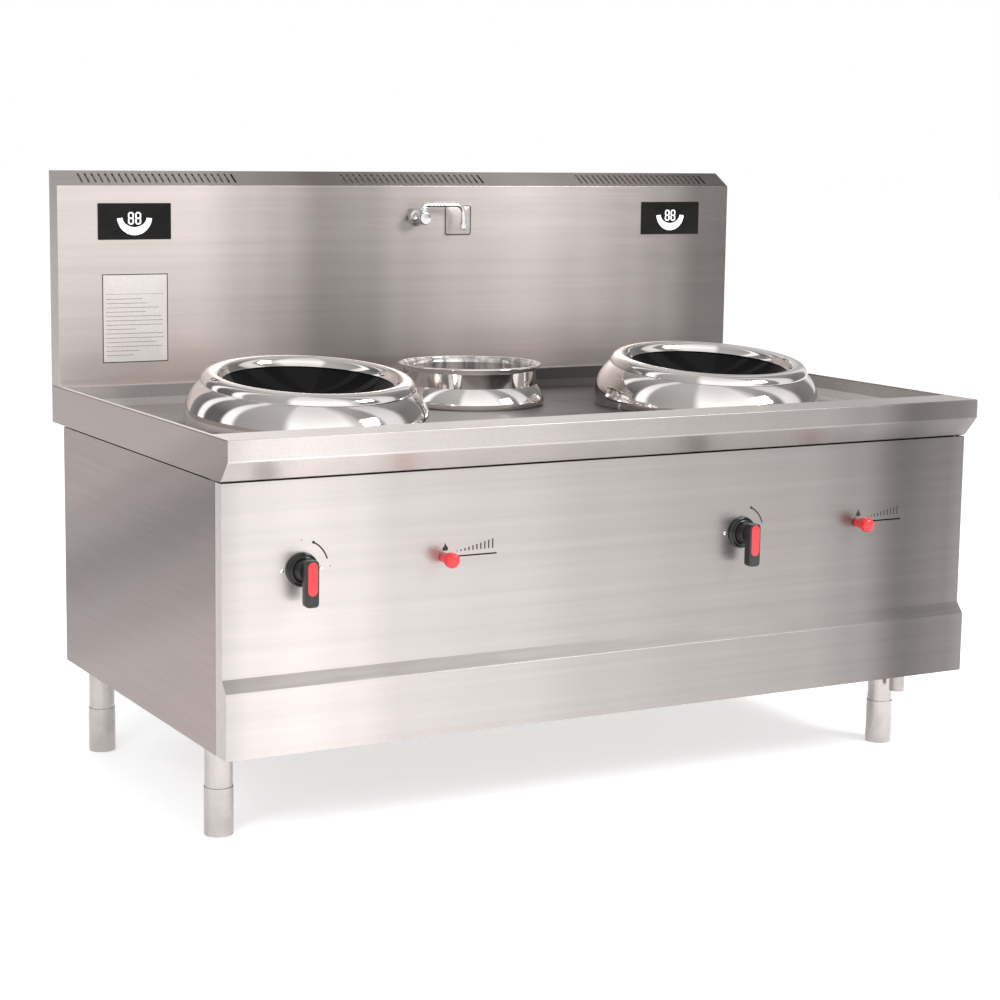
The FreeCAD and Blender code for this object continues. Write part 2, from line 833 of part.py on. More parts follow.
def wok_collar(side, sign):
    """Bulging sheet collar on the tray, cut level where it stands on the floor."""
    seam = size("seam_radius")
    bulge = size("collar_radius")
    drop = size("collar_bulge_drop")
    foot_radius = size("collar_foot_radius")
    deep = size("seam_z") - size("tray_floor") + 2 * foot_radius * math.tan(
        math.radians(size("wok_tilt")))
    path = outline(
        (size("seat_inner_radius"), -size("seat_drop")),
        (size("seat_outer_radius"), -size("seat_drop")),
        (size("seat_outer_radius"), 0),
        (seam, 0),
        ((seam + 0.72 * (bulge - seam), -0.38 * drop), (bulge, -drop)),
        (((bulge + foot_radius) / 2 + size("collar_belly"), -1.3 * drop), (foot_radius, -1.6 * drop)),
        (foot_radius, -deep))
    ring = formed(path, -size("collar_sheet"))
    ring.Placement = well_placement(sign)
    reach = 3 * bulge
    below = Part.makeBox(
        reach, reach, deep,
        Vector(sign * size("wok_x") - reach / 2, size("wok_y") - reach / 2,
               size("tray_floor") - deep))
    subpart(side + "_wok_collar", solid(side + "_collar_sheet", ring.cut(below)))


def wok_rim(side, sign):
    """Rolled rim of sheet that caps the collar and grips the edge of the glass."""
    outer = size("seam_radius") + size("rim_overhang")
    crest = size("rim_crest")
    crest_radius = size("rim_crest_radius")
    edge = size("glass_edge_radius")
    glass_top, _ = glass_levels()
    lip = glass_top + size("slide_clearance") + LIP_LEAN * size("rim_sheet")
    path = outline(
        (size("seat_outer_radius") + size("rim_overhang"), 0),
        (outer, 0),
        ((outer - 0.24 * (outer - crest_radius), 0.74 * crest), (crest_radius, crest)),
        ((crest_radius - 0.37 * (crest_radius - edge), 0.83 * crest),
         (crest_radius - 0.65 * (crest_radius - edge), 0.42 * crest)),
        (edge, lip))
    subpart(side + "_wok_rim", solid(
        side + "_rim_sheet", formed(path, size("rim_sheet")), well_placement(sign)))


def glass_levels():
    """Heights of the glass flange: its upper and its lower face."""
    low = size("gasket_thickness") - size("seat_drop")
    return low + size("glass_thickness"), low


def lower_dish():
    """Sphere of the glass bowl's underside, which the coil and its carrier follow."""
    upper, lower = glass_levels()
    thickness = size("glass_thickness")
    return dish(
        size("glass_edge_radius") + 1.6 * thickness, lower,
        upper - size("bowl_depth") - thickness)


def glass_bowl(side, sign):
    upper, lower = glass_levels()
    edge = size("glass_edge_radius") + 0.8 * size("glass_thickness")
    bottom = upper - size("bowl_depth")
    inner, inner_centre = dish(edge, upper, bottom)
    outer, outer_centre = lower_dish()
    outer_edge = size("glass_edge_radius") + 1.6 * size("glass_thickness")
    inner_angle = math.degrees(math.asin(edge / inner))
    outer_angle = math.degrees(math.asin(outer_edge / outer))
    flange = size("glass_flange_radius")
    path = outline(
        (flange, upper),
        (edge, upper),
        (dish_point(inner, inner_centre, inner_angle / 2), (0, bottom)),
        (0, bottom - size("glass_thickness")),
        (dish_point(outer, outer_centre, outer_angle / 2), (outer_edge, lower)),
        (flange, lower),
        (flange, upper))
    subpart(side + "_glass_bowl", solid(side + "_glass", turned(path), well_placement(sign)))


def bowl_gaskets():
    rings = []
    for _, sign in SIDES:
        low = -size("seat_drop")
        inner = size("glass_flange_radius") - size("gasket_width")
        path = outline(
            (inner, low),
            (size("glass_flange_radius"), low),
            (size("glass_flange_radius"), low + size("gasket_thickness")),
            (inner, low + size("gasket_thickness")),
            (inner, low))
        ring = turned(path)
        ring.Placement = well_placement(sign)
        rings.append(ring)
    subpart("bowl_gaskets", solid("gasket_rings", Part.makeCompound(rings)))


def induction_coil(side, sign):
    """Wound pancake that follows the bowl's underside."""
    radius, centre = lower_dish()
    near = radius + size("coil_gap")
    far = near + size("coil_thickness")
    inside = size("coil_inner_angle")
    outside = size("coil_outer_angle")
    middle = (inside + outside) / 2
    path = outline(
        dish_point(near, centre, inside),
        (dish_point(near, centre, middle), dish_point(near, centre, outside)),
        dish_point(far, centre, outside),
        (dish_point(far, centre, middle), dish_point(far, centre, inside)),
        dish_point(near, centre, inside))
    subpart(side + "_induction_coil", solid(
        side + "_winding", turned(path), well_placement(sign)))


def coil_carriers():
    """Moulded dishes under the coils, hung by their flanges below the collars' seats."""
    radius, centre = lower_dish()
    upper = radius + size("coil_gap") + size("coil_thickness")
    lower = upper + size("carrier_sheet")
    top = -size("seat_drop") - size("collar_sheet")
    under = top - size("carrier_sheet")
    upper_radius = math.sqrt(upper ** 2 - (centre - top) ** 2)
    lower_radius = math.sqrt(lower ** 2 - (centre - under) ** 2)
    upper_angle = math.degrees(math.asin(upper_radius / upper))
    lower_angle = math.degrees(math.asin(lower_radius / lower))
    flange = size("carrier_flange_radius")
    path = outline(
        (0, centre - upper),
        (dish_point(upper, centre, upper_angle / 2), (upper_radius, top)),
        (flange, top),
        (flange, under),
        (lower_radius, under),
        (dish_point(lower, centre, lower_angle / 2), (0, centre - lower)),
        (0, centre - upper))
    dishes = []
    for _, sign in SIDES:
        dish_form = turned(path)
        dish_form.Placement = well_placement(sign)
        dishes.append(dish_form)
    subpart("coil_carriers", solid("carrier_dishes", Part.makeCompound(dishes)))


# ---------------------------------------------------------------- soup pot

def soup_pot():
    """Stepped pot whose band stands on its collar while its well hangs below."""
    band = size("pot_band_radius")
    well = size("pot_well_radius")
    rim = size("pot_rim_z")
    seat = size("pot_seat_z")
    floor = rim - size("pot_depth")
    corner = size("pot_corner")
    flare = size("pot_flare")
    bead = size("pot_bead_radius")
    slack = corner * (1 - math.sqrt(0.5))
    path = outline(
        (0, floor),
        (well - corner, floor),
        ((well - slack, floor + slack), (well, floor + corner)),
        (well, seat),
        (band, seat),
        (band, rim - bead - 1.4 * flare),
        ((band + 0.29 * flare, rim - bead - 0.5 * flare), (band + flare, rim - bead)))
    vessel = formed(path, size("pot_sheet"))
    roll = Part.makeTorus(band + flare, bead, Vector(0, 0, rim - bead))
    subpart("soup_pot", solid(
        "pot_vessel", vessel.fuse(roll), Placement(Vector(0, size("pot_y"), 0), Rotation())))


def pot_collar():
    """Bulging ring on the tray that carries the pot by its shoulder."""
    seat = size("pot_seat_z")
    floor = size("tray_floor")
    rise = seat - floor
    band = size("pot_band_radius")
    bulge = size("pot_collar_radius")
    foot_radius = size("pot_collar_foot_radius")
    path = outline(
        (size("pot_seat_radius"), seat),
        (band, seat),
        ((band + 0.62 * (bulge - band), seat - 0.34 * rise), (bulge, seat - 0.72 * rise)),
        ((bulge - 0.2 * (bulge - foot_radius), seat - 0.86 * rise), (foot_radius, floor)))
    subpart("pot_collar", solid(
        "pot_collar_sheet", formed(path, -size("collar_sheet")),
        Placement(Vector(0, size("pot_y"), 0), Rotation())))


# ---------------------------------------------------------------- controls

def switch_base(side):
    """Round escutcheon of a rotary switch, with the spindle's bearing in its middle."""
    x = f"{side}_switch_x"
    disc = cylinder(
        side + "_base_disc", (x, "panel_y - switch_base_thickness / 2", "control_height"),
        "Y", "switch_base_radius", "switch_base_thickness / 2")
    step = cylinder(
        side + "_base_step", (x, "panel_y - switch_base_thickness", "control_height"),
        "Y", "switch_base_radius - switch_base_thickness / 2", "switch_base_thickness")
    bore = cylinder(
        side + "_base_bore", (x, "panel_y - 2 * switch_base_thickness", "control_height"),
        "Y", "spindle_radius + running_gap", "3 * switch_base_thickness")
    subpart(side + "_switch_base", cut(
        side + "_base_cut", join(side + "_base_joined", [disc, step]), [bore]))


def lever_recess(side, proud):
    """Stadium-shaped block on the lever's face, with its long side upright."""
    half = size("insert_width") / 2
    straight = size("insert_length") - size("insert_width")
    top = size("control_height") + size("lever_above") - size("insert_margin") - half
    face = size("panel_y") - size("lever_reach") + size("insert_proud")
    deep = size("insert_recess") + proud
    x = size(side + "_switch_x")
    front = face - proud
    ends = [
        Part.makeCylinder(half, deep, Vector(x, front, z), PLANES["Y"])
        for z in (top, top - straight)]
    middle = Part.makeBox(
        2 * half, deep, straight, Vector(x - half, front, top - straight))
    return middle.multiFuse(ends).removeSplitter()


def switch_lever(side):
    """Pendant lever with its hub and the spindle that turns in the base."""
    x = size(side + "_switch_x")
    height = size("control_height")
    back = size("panel_y") - size("switch_base_thickness") - size("lever_gap")
    hub = Part.makeCone(
        size("lever_hub_radius"), 0.75 * size("lever_hub_radius"),
        size("lever_hub_length") + size("lever_round"), Vector(x, back, height),
        -PLANES["Y"])
    width = size("lever_width")
    front = back - size("lever_hub_length") - size("lever_thickness")
    bar = Part.makeBox(
        width, size("lever_thickness"), size("lever_above") + size("lever_below"),
        Vector(x - width / 2, front, height - size("lever_below")))
    bar = bar.makeFillet(size("lever_round"), bar.Edges)
    spindle = Part.makeCylinder(
        size("spindle_radius"), size("spindle_length") + size("lever_hub_length") / 2,
        Vector(x, back - size("lever_hub_length") / 2, height), PLANES["Y"])
    whole = bar.multiFuse([hub, spindle]).removeSplitter()
    subpart(side + "_switch_lever", solid(
        side + "_lever_moulding", whole.cut(lever_recess(side, size("lever_thickness")))))
    insert = lever_recess(side, size("insert_proud"))
    subpart(side + "_lever_insert", solid(side + "_insert_strip", insert))


def switch_contacts():
    """The two contact blocks behind the panel, bored for the spindles."""
    blocks = []
    for side, _ in SIDES:
        x = f"{side}_switch_x"
        case = box(
            side + "_contact_case",
            (f"{x} - contacts_width / 2", "panel_y + panel_sheet",
             "control_height - contacts_height / 2"),
            ("contacts_width", "contacts_depth", "contacts_height"))
        bore = cylinder(
            side + "_contact_bore", (x, "panel_y", "control_height"), "Y",
            "spindle_radius + running_gap", "2 * contacts_depth")
        blocks.append(cut(side + "_contact_block", case, [bore]))
    subpart("switch_contact_blocks", group("contact_blocks", blocks))


def slider_housings():
    """Channels behind the panel in which the slider carriages run."""
    channels = []
    for side, _ in SIDES:
        x = f"{side}_slot_x"
        case = box(
            side + "_channel_case",
            (f"{x} - housing_wall - carriage_width", "panel_y + panel_sheet",
             "control_height - carriage_height / 2 - slide_clearance - housing_wall"),
            ("slot_length + 2 * housing_wall + 2 * carriage_width",
             "carriage_depth + 2 * slide_clearance + 2 * housing_wall",
             "carriage_height + 2 * slide_clearance + 2 * housing_wall"))
        hollow = box(
            side + "_channel_hollow",
            (f"{x} - carriage_width / 2", "panel_y + panel_sheet + housing_wall",
             "control_height - carriage_height / 2 - slide_clearance"),
            ("slot_length + carriage_width", "carriage_depth + 2 * slide_clearance",
             "carriage_height + 2 * slide_clearance"))
        mouth = box(
            side + "_channel_mouth", (x, "panel_y", "control_height - slot_height / 2"),
            ("slot_length", "panel_sheet + 2 * housing_wall", "slot_height"))
        channels.append(cut(side + "_channel", case, [hollow, mouth]))
    subpart("slider_housings", group("channels", channels))


def slider_carriage(side):
    """Sliding block and its flat blade, which comes out through the slot."""
    x = f"({side}_slot_x + slider_start)"
    block = centred_box(
        side + "_carriage_block",
        (x, "panel_y + panel_sheet + housing_wall + slide_clearance + carriage_depth / 2",
         "control_height"),
        ("carriage_width", "carriage_depth", "carriage_height"))
    blade = box(
        side + "_carriage_blade",
        (f"{x} - blade_width / 2", "panel_y - knob_gap - blade_embed",
         "control_height - blade_thickness / 2"),
        ("blade_width",
         "knob_gap + blade_embed + panel_sheet + housing_wall + carriage_depth / 2",
         "blade_thickness"))
    subpart(side + "_slider_carriage", join(side + "_carriage_joined", [block, blade]))


def slider_knob(side):
    """Round knob that widens to its rounded tip, pushed on to the blade."""
    x = size(side + "_slot_x") + size("slider_start")
    base = size("knob_base_radius")
    tip = size("knob_tip_radius")
    length = size("knob_length")
    path = outline(
        (0, 0),
        (base - 1, 0),
        ((base - 0.3, 0.3), (base, 1)),
        (tip, 0.72 * length),
        ((0.86 * tip, 0.92 * length), (0.5 * tip, length)),
        (0, length),
        (0, 0))
    knob = turned(path, -PLANES["Y"])
    face = size("panel_y") - size("knob_gap")
    knob.translate(Vector(x, face, size("control_height")))
    socket = Part.makeBox(
        size("blade_width"), size("blade_embed"), size("blade_thickness"),
        Vector(x - size("blade_width") / 2, face - size("blade_embed"),
               size("control_height") - size("blade_thickness") / 2))
    subpart(side + "_slider_knob", solid(side + "_knob_moulding", knob.cut(socket)))


# ---------------------------------------------------------------- displays and plates

def displays():
    modules = []
    for side, _ in SIDES:
        x = f"{side}_display_x"
        subpart(side + "_display_window", centred_box(
            side + "_window_plate",
            (x, "splash_front - display_thickness / 2", "display_z"),
            ("display_width", "display_thickness", "display_height")))
        modules.append(centred_box(
            side + "_display_module",
            (x, "splash_front + module_depth / 2", "display_z"),
            ("module_width", "module_depth", "module_height")))
    subpart("display_modules", group("display_boards", modules))


def plates():
    for name in ("notice", "badge"):
        subpart(name + "_plate", centred_box(
            name + "_sheet",
            (name + "_x", "splash_front - plate_thickness / 2",
             f"top_height + {name}_rise"),
            (name + "_width", "plate_thickness", name + "_height")))


# ---------------------------------------------------------------- water tap

def tap_body():
    """Wall flange, valve body with the spout's socket on top, and the rear shank."""
    y = "splash_front"
    flange = cylinder(
        "tap_flange", ("tap_x", f"{y} - tap_flange_thickness", "tap_z"), "Y",
        "tap_flange_radius", "tap_flange_thickness")
    barrel = cylinder(
        "tap_barrel", ("tap_x", f"{y} - tap_body_length", "tap_z"), "Y",
        "tap_body_radius", "tap_body_length")
    socket = cylinder(
        "tap_socket", ("tap_x", "spout_y", "tap_z"), "Z",
        "2 * tap_bore_radius", "tap_body_radius + tap_bore_radius")
    shank = cylinder(
        "tap_shank", ("tap_x", y, "tap_z"), "Y", "tap_shank_radius",
        "splash_depth / 2 - supply_radius")
    pivot = cylinder(
        "tap_lever_boss",
        ("tap_x - tap_body_radius - tap_bore_radius / 2",
         "splash_front - tap_lever_stand_off", "tap_z"),
        "X", "tap_lever_rod_radius", "tap_body_radius")
    bore = cylinder(
        "spout_bore",
        ("tap_x", "spout_y", "tap_z + tap_body_radius + tap_bore_radius - tap_socket_depth"),
        "Z", "tap_bore_radius + running_gap", "2 * tap_socket_depth")
    whole = join("tap_joined", [flange, barrel, socket, shank, pivot])
    subpart("tap_body", cut("tap_cut", whole, [bore]))


def tap_spout():
    """Swinging spout: spigot, riser, level arm, bend and nozzle."""
    x = size("tap_x")
    y = size("spout_y")
    top = size("spout_z")
    bend = size("spout_bend")
    radius = size("spout_radius")
    end = x + size("spout_reach")
    foot_z = size("tap_z") + size("tap_body_radius") + size("tap_bore_radius")
    low = foot_z - size("tap_socket_depth") + size("slide_clearance")
    nozzle_top = top - size("spout_drop")
    slack = bend * (1 - math.sqrt(0.5))
    corner = radius + 1
    nook = corner * (1 - math.sqrt(0.5))
    start = Vector(x, y, low)
    path = Part.Wire([
        Part.makeLine(start, Vector(x, y, top - corner)),
        Part.Arc(Vector(x, y, top - corner), Vector(x + nook, y, top - nook),
                 Vector(x + corner, y, top)).toShape(),
        Part.makeLine(Vector(x + corner, y, top), Vector(end - bend, y, top)),
        Part.Arc(Vector(end - bend, y, top), Vector(end - slack, y, top - slack),
                 Vector(end, y, top - bend)).toShape(),
        Part.makeLine(Vector(end, y, top - bend), Vector(end, y, nozzle_top - radius))])
    ring = Part.Wire(Part.makeCircle(radius, start, PLANES["Z"]))
    pipe = path.makePipeShell([ring], True, True)
    nut = Part.makeCylinder(
        1.6 * radius, 1.4 * radius, Vector(x, y, foot_z + size("slide_clearance")))
    nozzle = Part.makeCylinder(
        size("nozzle_radius"), size("nozzle_length"),
        Vector(end, y, nozzle_top - size("nozzle_length")))
    subpart("tap_spout", solid(
        "spout_pipe", pipe.multiFuse([nut, nozzle]).removeSplitter()))


def tap_lever():
    """Side lever with a ball end, on the boss of the valve body."""
    hub_width = size("tap_lever_hub_width")
    face = size("tap_x") - size("tap_body_radius") - size("slide_clearance")
    y = size("splash_front") - size("tap_lever_stand_off")
    z = size("tap_z")
    reach = size("tap_lever_reach")
    hub = Part.makeCylinder(
        size("tap_lever_hub_radius"), hub_width, Vector(face - hub_width, y, z), PLANES["X"])
    middle = face - size("tap_ball_radius") - size("slide_clearance")
    rod = Part.makeCylinder(
        size("tap_lever_rod_radius"), reach, Vector(middle, y, z), -PLANES["Y"])
    ball = Part.makeSphere(size("tap_ball_radius"), Vector(middle, y - reach, z))
    socket = Part.makeCylinder(
        size("tap_lever_rod_radius") + size("running_gap"), size("tap_bore_radius"),
        Vector(face - size("tap_bore_radius") / 2 - size("slide_clearance"), y, z),
        PLANES["X"])
    whole = hub.multiFuse([rod, ball]).removeSplitter()
    subpart("tap_lever", solid("ball_lever", whole.cut(socket)))


def water_supply():
    """Supply pipe from the tap's shank down behind the cabinet to its nipple."""
    riser = cylinder(
        "supply_riser", ("tap_x", "splash_middle", "supply_end"), "Z",
        "supply_radius", "tap_z + tap_shank_radius + 2 * supply_wall - supply_end")
    nipple = cylinder(
        "supply_nipple", ("tap_x", "splash_middle", "supply_end"), "Z",
        "supply_nipple_radius", "supply_nipple_length")
    clip = box(
        "supply_clip",
        ("tap_x - supply_radius", "cabinet_back + panel_sheet",
         "supply_end + clip_above_end"),
        ("2 * supply_radius", "splash_middle - cabinet_back - panel_sheet", "clip_height"))
    bore = cylinder(
        "supply_bore", ("tap_x", "splash_middle", "supply_end - supply_wall"), "Z",
        "supply_radius - supply_wall", "tap_z - supply_end + supply_wall")
    whole = join("supply_joined", [riser, nipple, clip])
    subpart("water_supply_pipe", cut("supply_cut", whole, [bore]))


def drain_pipe():
    """Waste pipe from the tray's floor down past the cabinet's bottom."""
    length = "tray_floor + drain_flange_thickness - drain_end"
    spigot = cylinder(
        "drain_spigot", ("drain_x", "drain_y", "drain_end"), "Z",
        "drain_spigot_radius", "2 * drain_spigot_length")
    pipe = cylinder(
        "drain_tube", ("drain_x", "drain_y", "drain_end + drain_spigot_length"), "Z",
        "drain_radius", length + " - drain_spigot_length")
    flange = cylinder(
        "drain_flange", ("drain_x", "drain_y", "tray_floor"), "Z",
        "drain_flange_radius", "drain_flange_thickness")
    bore = cylinder(
        "drain_bore", ("drain_x", "drain_y", "drain_end - drain_wall"), "Z",
        "drain_radius - drain_wall", length + " + 2 * drain_wall")
    whole = join("drain_joined", [spigot, pipe, flange])
    subpart("drain_pipe", cut("drain_cut", whole, [bore]))


# ---------------------------------------------------------------- power electronics

def inverter_case(side, sign):
    """Sheet case of one induction generator, open where its fan blows in."""
    x = f"{sign} * wok_x"
    outside = box(
        side + "_case_outside", (f"{x} - inverter_width / 2", "inverter_y", "inverter_z"),
        ("inverter_width", "inverter_depth", "inverter_height"))
    inside = box(
        side + "_case_inside",
        (f"{x} - inverter_width / 2 + inverter_sheet", "inverter_y + inverter_sheet",
         "inverter_z + inverter_sheet"),
        ("inverter_width - 2 * inverter_sheet", "inverter_depth - 2 * inverter_sheet",
         "inverter_height - 2 * inverter_sheet"))
    inlet = cylinder(
        side + "_case_inlet", (x, "fan_y - 2 * inverter_sheet", "fan_z"), "Y",
        "fan_bore_radius", "4 * inverter_sheet")
    outlet = centred_box(
        side + "_case_outlet", (x, "inverter_y", "inverter_z + inverter_height / 2"),
        ("inverter_width * 0.7", "4 * inverter_sheet", "inverter_height * 0.4"))
    subpart(side + "_inverter_case", cut(
        side + "_case_cut", outside, [inside, inlet, outlet]))


def fan_frame(side, sign):
    """Square fan frame with struts, a motor plate and the rotor's pin."""
    x = f"({sign} * wok_x)"
    block = box(
        side + "_fan_block", (f"{x} - fan_size / 2", "fan_y", "fan_z - fan_size / 2"),
        ("fan_size", "fan_depth", "fan_size"))
    bore = cylinder(
        side + "_fan_bore", (x, "fan_y - fan_strut", "fan_z"), "Y",
        "fan_bore_radius", "fan_depth + 2 * fan_strut")
    ring = cut(side + "_fan_ring", block, [bore])
    rear = "fan_y + fan_depth - fan_strut / 2"
    level = box(
        side + "_fan_level_strut",
        (f"{x} - fan_size / 2", f"{rear} - fan_strut / 2", "fan_z - fan_strut / 2"),
        ("fan_size", "fan_strut", "fan_strut"))
    upright = box(
        side + "_fan_upright_strut",
        (f"{x} - fan_strut / 2", f"{rear} - fan_strut / 2", "fan_z - fan_size / 2"),
        ("fan_strut", "fan_strut", "fan_size"))
    motor = cylinder(
        side + "_fan_motor", (x, "fan_y + fan_depth - fan_motor_depth", "fan_z"), "Y",
        "fan_motor_radius", "fan_motor_depth")
    pin = cylinder(
        side + "_fan_pin", (x, "fan_y + fan_strut / 2", "fan_z"), "Y",
        "fan_pin_radius", "fan_depth - fan_strut")
    subpart(side + "_fan_frame", join(
        side + "_fan_joined", [ring, level, upright, motor, pin]))


def fan_rotor(side, sign):
    """Hub with pitched blades that turns on the frame's pin."""
    depth = size("rotor_depth")
    hub_radius = size("rotor_hub_radius")
    reach = size("fan_bore_radius") - size("rotor_tip_gap")
    blade_height = depth * 0.8
    pieces = []
    for number in range(int(size("blade_count"))):
        blade = Part.makeBox(
            reach - hub_radius / 2, size("rotor_blade_thickness"), blade_height,
            Vector(hub_radius / 2, -size("rotor_blade_thickness") / 2, -blade_height / 2))
        blade.rotate(Vector(), PLANES["X"], size("blade_pitch"))
        blade.rotate(Vector(), PLANES["Z"], number * 360 / size("blade_count"))
        pieces.append(blade)
    hub = Part.makeCylinder(hub_radius, depth, Vector(0, 0, -depth / 2))
    bore = Part.makeCylinder(
        size("fan_pin_radius") + size("running_gap"), 2 * depth, Vector(0, 0, -depth))
    sweep = Part.makeCylinder(reach, 2 * depth, Vector(0, 0, -depth))
    whole = hub.multiFuse(pieces).common(sweep).cut(bore)
    middle = size("fan_y") + size("fan_depth") - size("fan_motor_depth") \
        - size("rotor_rear_gap") - depth / 2
    subpart(side + "_fan_rotor", solid(
        side + "_rotor_moulding", whole,
        Placement(Vector(sign * size("wok_x"), middle, size("fan_z")),
                  Rotation(PLANES["Z"], -PLANES["Y"]))))


def cable_gland():
    """Mains inlet gland through the rear panel, with its nut inside."""
    barrel = cylinder(
        "gland_barrel", ("gland_x", "cabinet_back - gland_inside", "gland_height"), "Y",
        "gland_radius", "gland_inside + panel_sheet + gland_outside")
    collar = cylinder(
        "gland_collar", ("gland_x", "cabinet_back + panel_sheet", "gland_height"), "Y",
        "gland_nut_radius", "gland_nut_thickness")
    nut = cylinder(
        "gland_nut", ("gland_x", "cabinet_back - gland_nut_thickness", "gland_height"), "Y",
        "gland_nut_radius", "gland_nut_thickness")
    bore = cylinder(
        "gland_bore", ("gland_x", "cabinet_back - 2 * gland_inside", "gland_height"), "Y",
        "gland_bore_radius", "4 * gland_outside")
    subpart("cable_gland", cut(
        "gland_cut", join("gland_joined", [barrel, collar, nut]), [bore]))


# ---------------------------------------------------------------- screws

def screw(position, outward):
    """Pan-head screw whose head lies on the surface at position."""
    head = Part.makeCylinder(
        size("screw_head_radius"), size("screw_head_height"), position, outward)
    rim = [edge for edge in head.Edges if edge.Closed]
    top = max(rim, key=lambda edge: edge.CenterOfMass.dot(outward))
    return head.makeFillet(size("screw_head_height") / 2, [top])


def panel_screws():
    """Screws beside the switches and round the two rear covers."""
    screws = []
    for side, _ in SIDES:
        for sign in (-1, 1):
            x = size(side + "_switch_x") + sign * size("switch_screw_offset")
            screws.append(screw(
                Vector(x, size("panel_y"), size("control_height")), -PLANES["Y"]))
    inset = size("cover_screw_inset")
    wide = size("width") / 2 - inset
    for number in range(5):
        x = -wide + number * wide / 2
        for z in (size("top_height") + inset, size("splash_brow") - inset):
            screws.append(screw(Vector(x, size("back_y"), z), PLANES["Y"]))
        for z in (size("body_bottom") + inset, size("panel_top") - inset):
            y = size("cabinet_back") + size("panel_sheet")
            screws.append(screw(Vector(x, y, z), PLANES["Y"]))
    subpart("panel_screws", solid("screw_heads", Part.makeCompound(screws)))


# ---------------------------------------------------------------- build

def build():
    worktop()
    tray()
    backsplash()
    front_panel()
    rear_panel()
    bottom_pan()
    cabinet_frame()
    for name, x, y in leg_places():
        leg(name, x, y)
        foot(name, x, y)
    for side, sign in SIDES:
        side_panel(side, sign)
        wok_collar(side, sign)
        wok_rim(side, sign)
        glass_bowl(side, sign)
        induction_coil(side, sign)
        switch_base(side)
        switch_lever(side)
        slider_carriage(side)
        slider_knob(side)
        inverter_case(side, sign)
        fan_frame(side, sign)
        fan_rotor(side, sign)
    bowl_gaskets()
    coil_carriers()
    soup_pot()
    pot_collar()
    switch_contacts()
    slider_housings()
    displays()
    plates()
    tap_body()
    tap_spout()
    tap_lever()
    water_supply()
    drain_pipe()
    cable_gland()
    panel_screws()


def check():
    """Stop with a list of every failed object and every bad or empty shape."""
    faults = []
    for item in document.Objects:
        if any(word in item.State for word in ("Invalid", "Error")):
            faults.append(f"{item.Name}: {item.State}")
    for label, piece in subparts.items():
        if piece.Shape.isNull() or not piece.Shape.isValid() or not piece.Shape.Solids:
            faults.append(f"{label}: bad shape")
    if faults:
        raise RuntimeError("; ".join(faults))


fill_sheet()
build()
document.recompute()
check()
for label, piece in subparts.items():
    piece.Shape.exportStep(f"parts/{label}.step")
print(len(subparts), "sub-parts written")
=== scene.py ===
"""Looks of an induction wok range: brushed and polished steel, black glass, switches, tap."""
import json
import math

import bmesh
import bpy
import numpy as np
from mathutils import Matrix, Vector


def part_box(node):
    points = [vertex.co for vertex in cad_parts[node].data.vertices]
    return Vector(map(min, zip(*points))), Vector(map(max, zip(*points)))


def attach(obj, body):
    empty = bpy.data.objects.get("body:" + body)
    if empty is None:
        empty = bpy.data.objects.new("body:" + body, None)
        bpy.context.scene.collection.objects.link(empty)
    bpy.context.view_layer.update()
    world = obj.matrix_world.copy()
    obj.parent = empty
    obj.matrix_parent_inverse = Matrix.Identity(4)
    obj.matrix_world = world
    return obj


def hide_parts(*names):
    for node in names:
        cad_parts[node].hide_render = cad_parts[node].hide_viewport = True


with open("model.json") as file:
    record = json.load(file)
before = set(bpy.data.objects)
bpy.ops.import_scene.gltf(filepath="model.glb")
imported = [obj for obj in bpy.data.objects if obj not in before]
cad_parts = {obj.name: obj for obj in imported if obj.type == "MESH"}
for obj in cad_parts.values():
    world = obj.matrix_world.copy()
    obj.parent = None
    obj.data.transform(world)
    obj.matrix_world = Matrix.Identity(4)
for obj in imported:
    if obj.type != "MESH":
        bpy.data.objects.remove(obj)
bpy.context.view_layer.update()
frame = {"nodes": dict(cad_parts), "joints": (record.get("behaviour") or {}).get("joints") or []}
nodes = frame["nodes"]
joints = {joint["name"]: joint for joint in frame["joints"]}

MM = 0.001
BODY = "range_body"
SIDES = ("left", "right")
ENDS = ("front", "back")
X, Y = np.eye(3)[:2]


# -------- camera

CAMERA_PLACE = (-2.4742, -4.3694, 1.3784)
CAMERA_YAW = 0.4874
CAMERA_DIP = 0.1442
CAMERA_ROLL = 0.0113
CAMERA_LENS = 80.83
CAMERA_SHIFT = (0.0502, -0.0301)


def set_camera():
    """The photograph's view: from the front left, a little above the worktop."""
    data = bpy.data.cameras.new("photo_camera")
    data.lens = CAMERA_LENS
    data.sensor_width = 36.0
    data.shift_x, data.shift_y = CAMERA_SHIFT
    data.clip_end = 200.0
    camera = bpy.data.objects.new("photo_camera", data)
    turn = (Matrix.Rotation(-CAMERA_YAW, 4, "Z")
            @ Matrix.Rotation(math.pi / 2 - CAMERA_DIP, 4, "X")
            @ Matrix.Rotation(CAMERA_ROLL, 4, "Z"))
    camera.matrix_world = Matrix.Translation(CAMERA_PLACE) @ turn
    bpy.context.scene.collection.objects.link(camera)
    bpy.context.scene.camera = camera


# -------- shader sums

class Value:
    """One socket of a material, on which a sum is written as a sum."""

    def __init__(self, paint, socket):
        self.paint = paint
        self.socket = socket

    def __add__(self, other):
        return self.paint.maths("ADD", self, other)

    def __sub__(self, other):
        return self.paint.maths("SUBTRACT", self, other)

    def __rsub__(self, other):
        return self.paint.maths("SUBTRACT", other, self)

    def __mul__(self, other):
        return self.paint.maths("MULTIPLY", self, other)

    __radd__ = __add__
    __rmul__ = __mul__


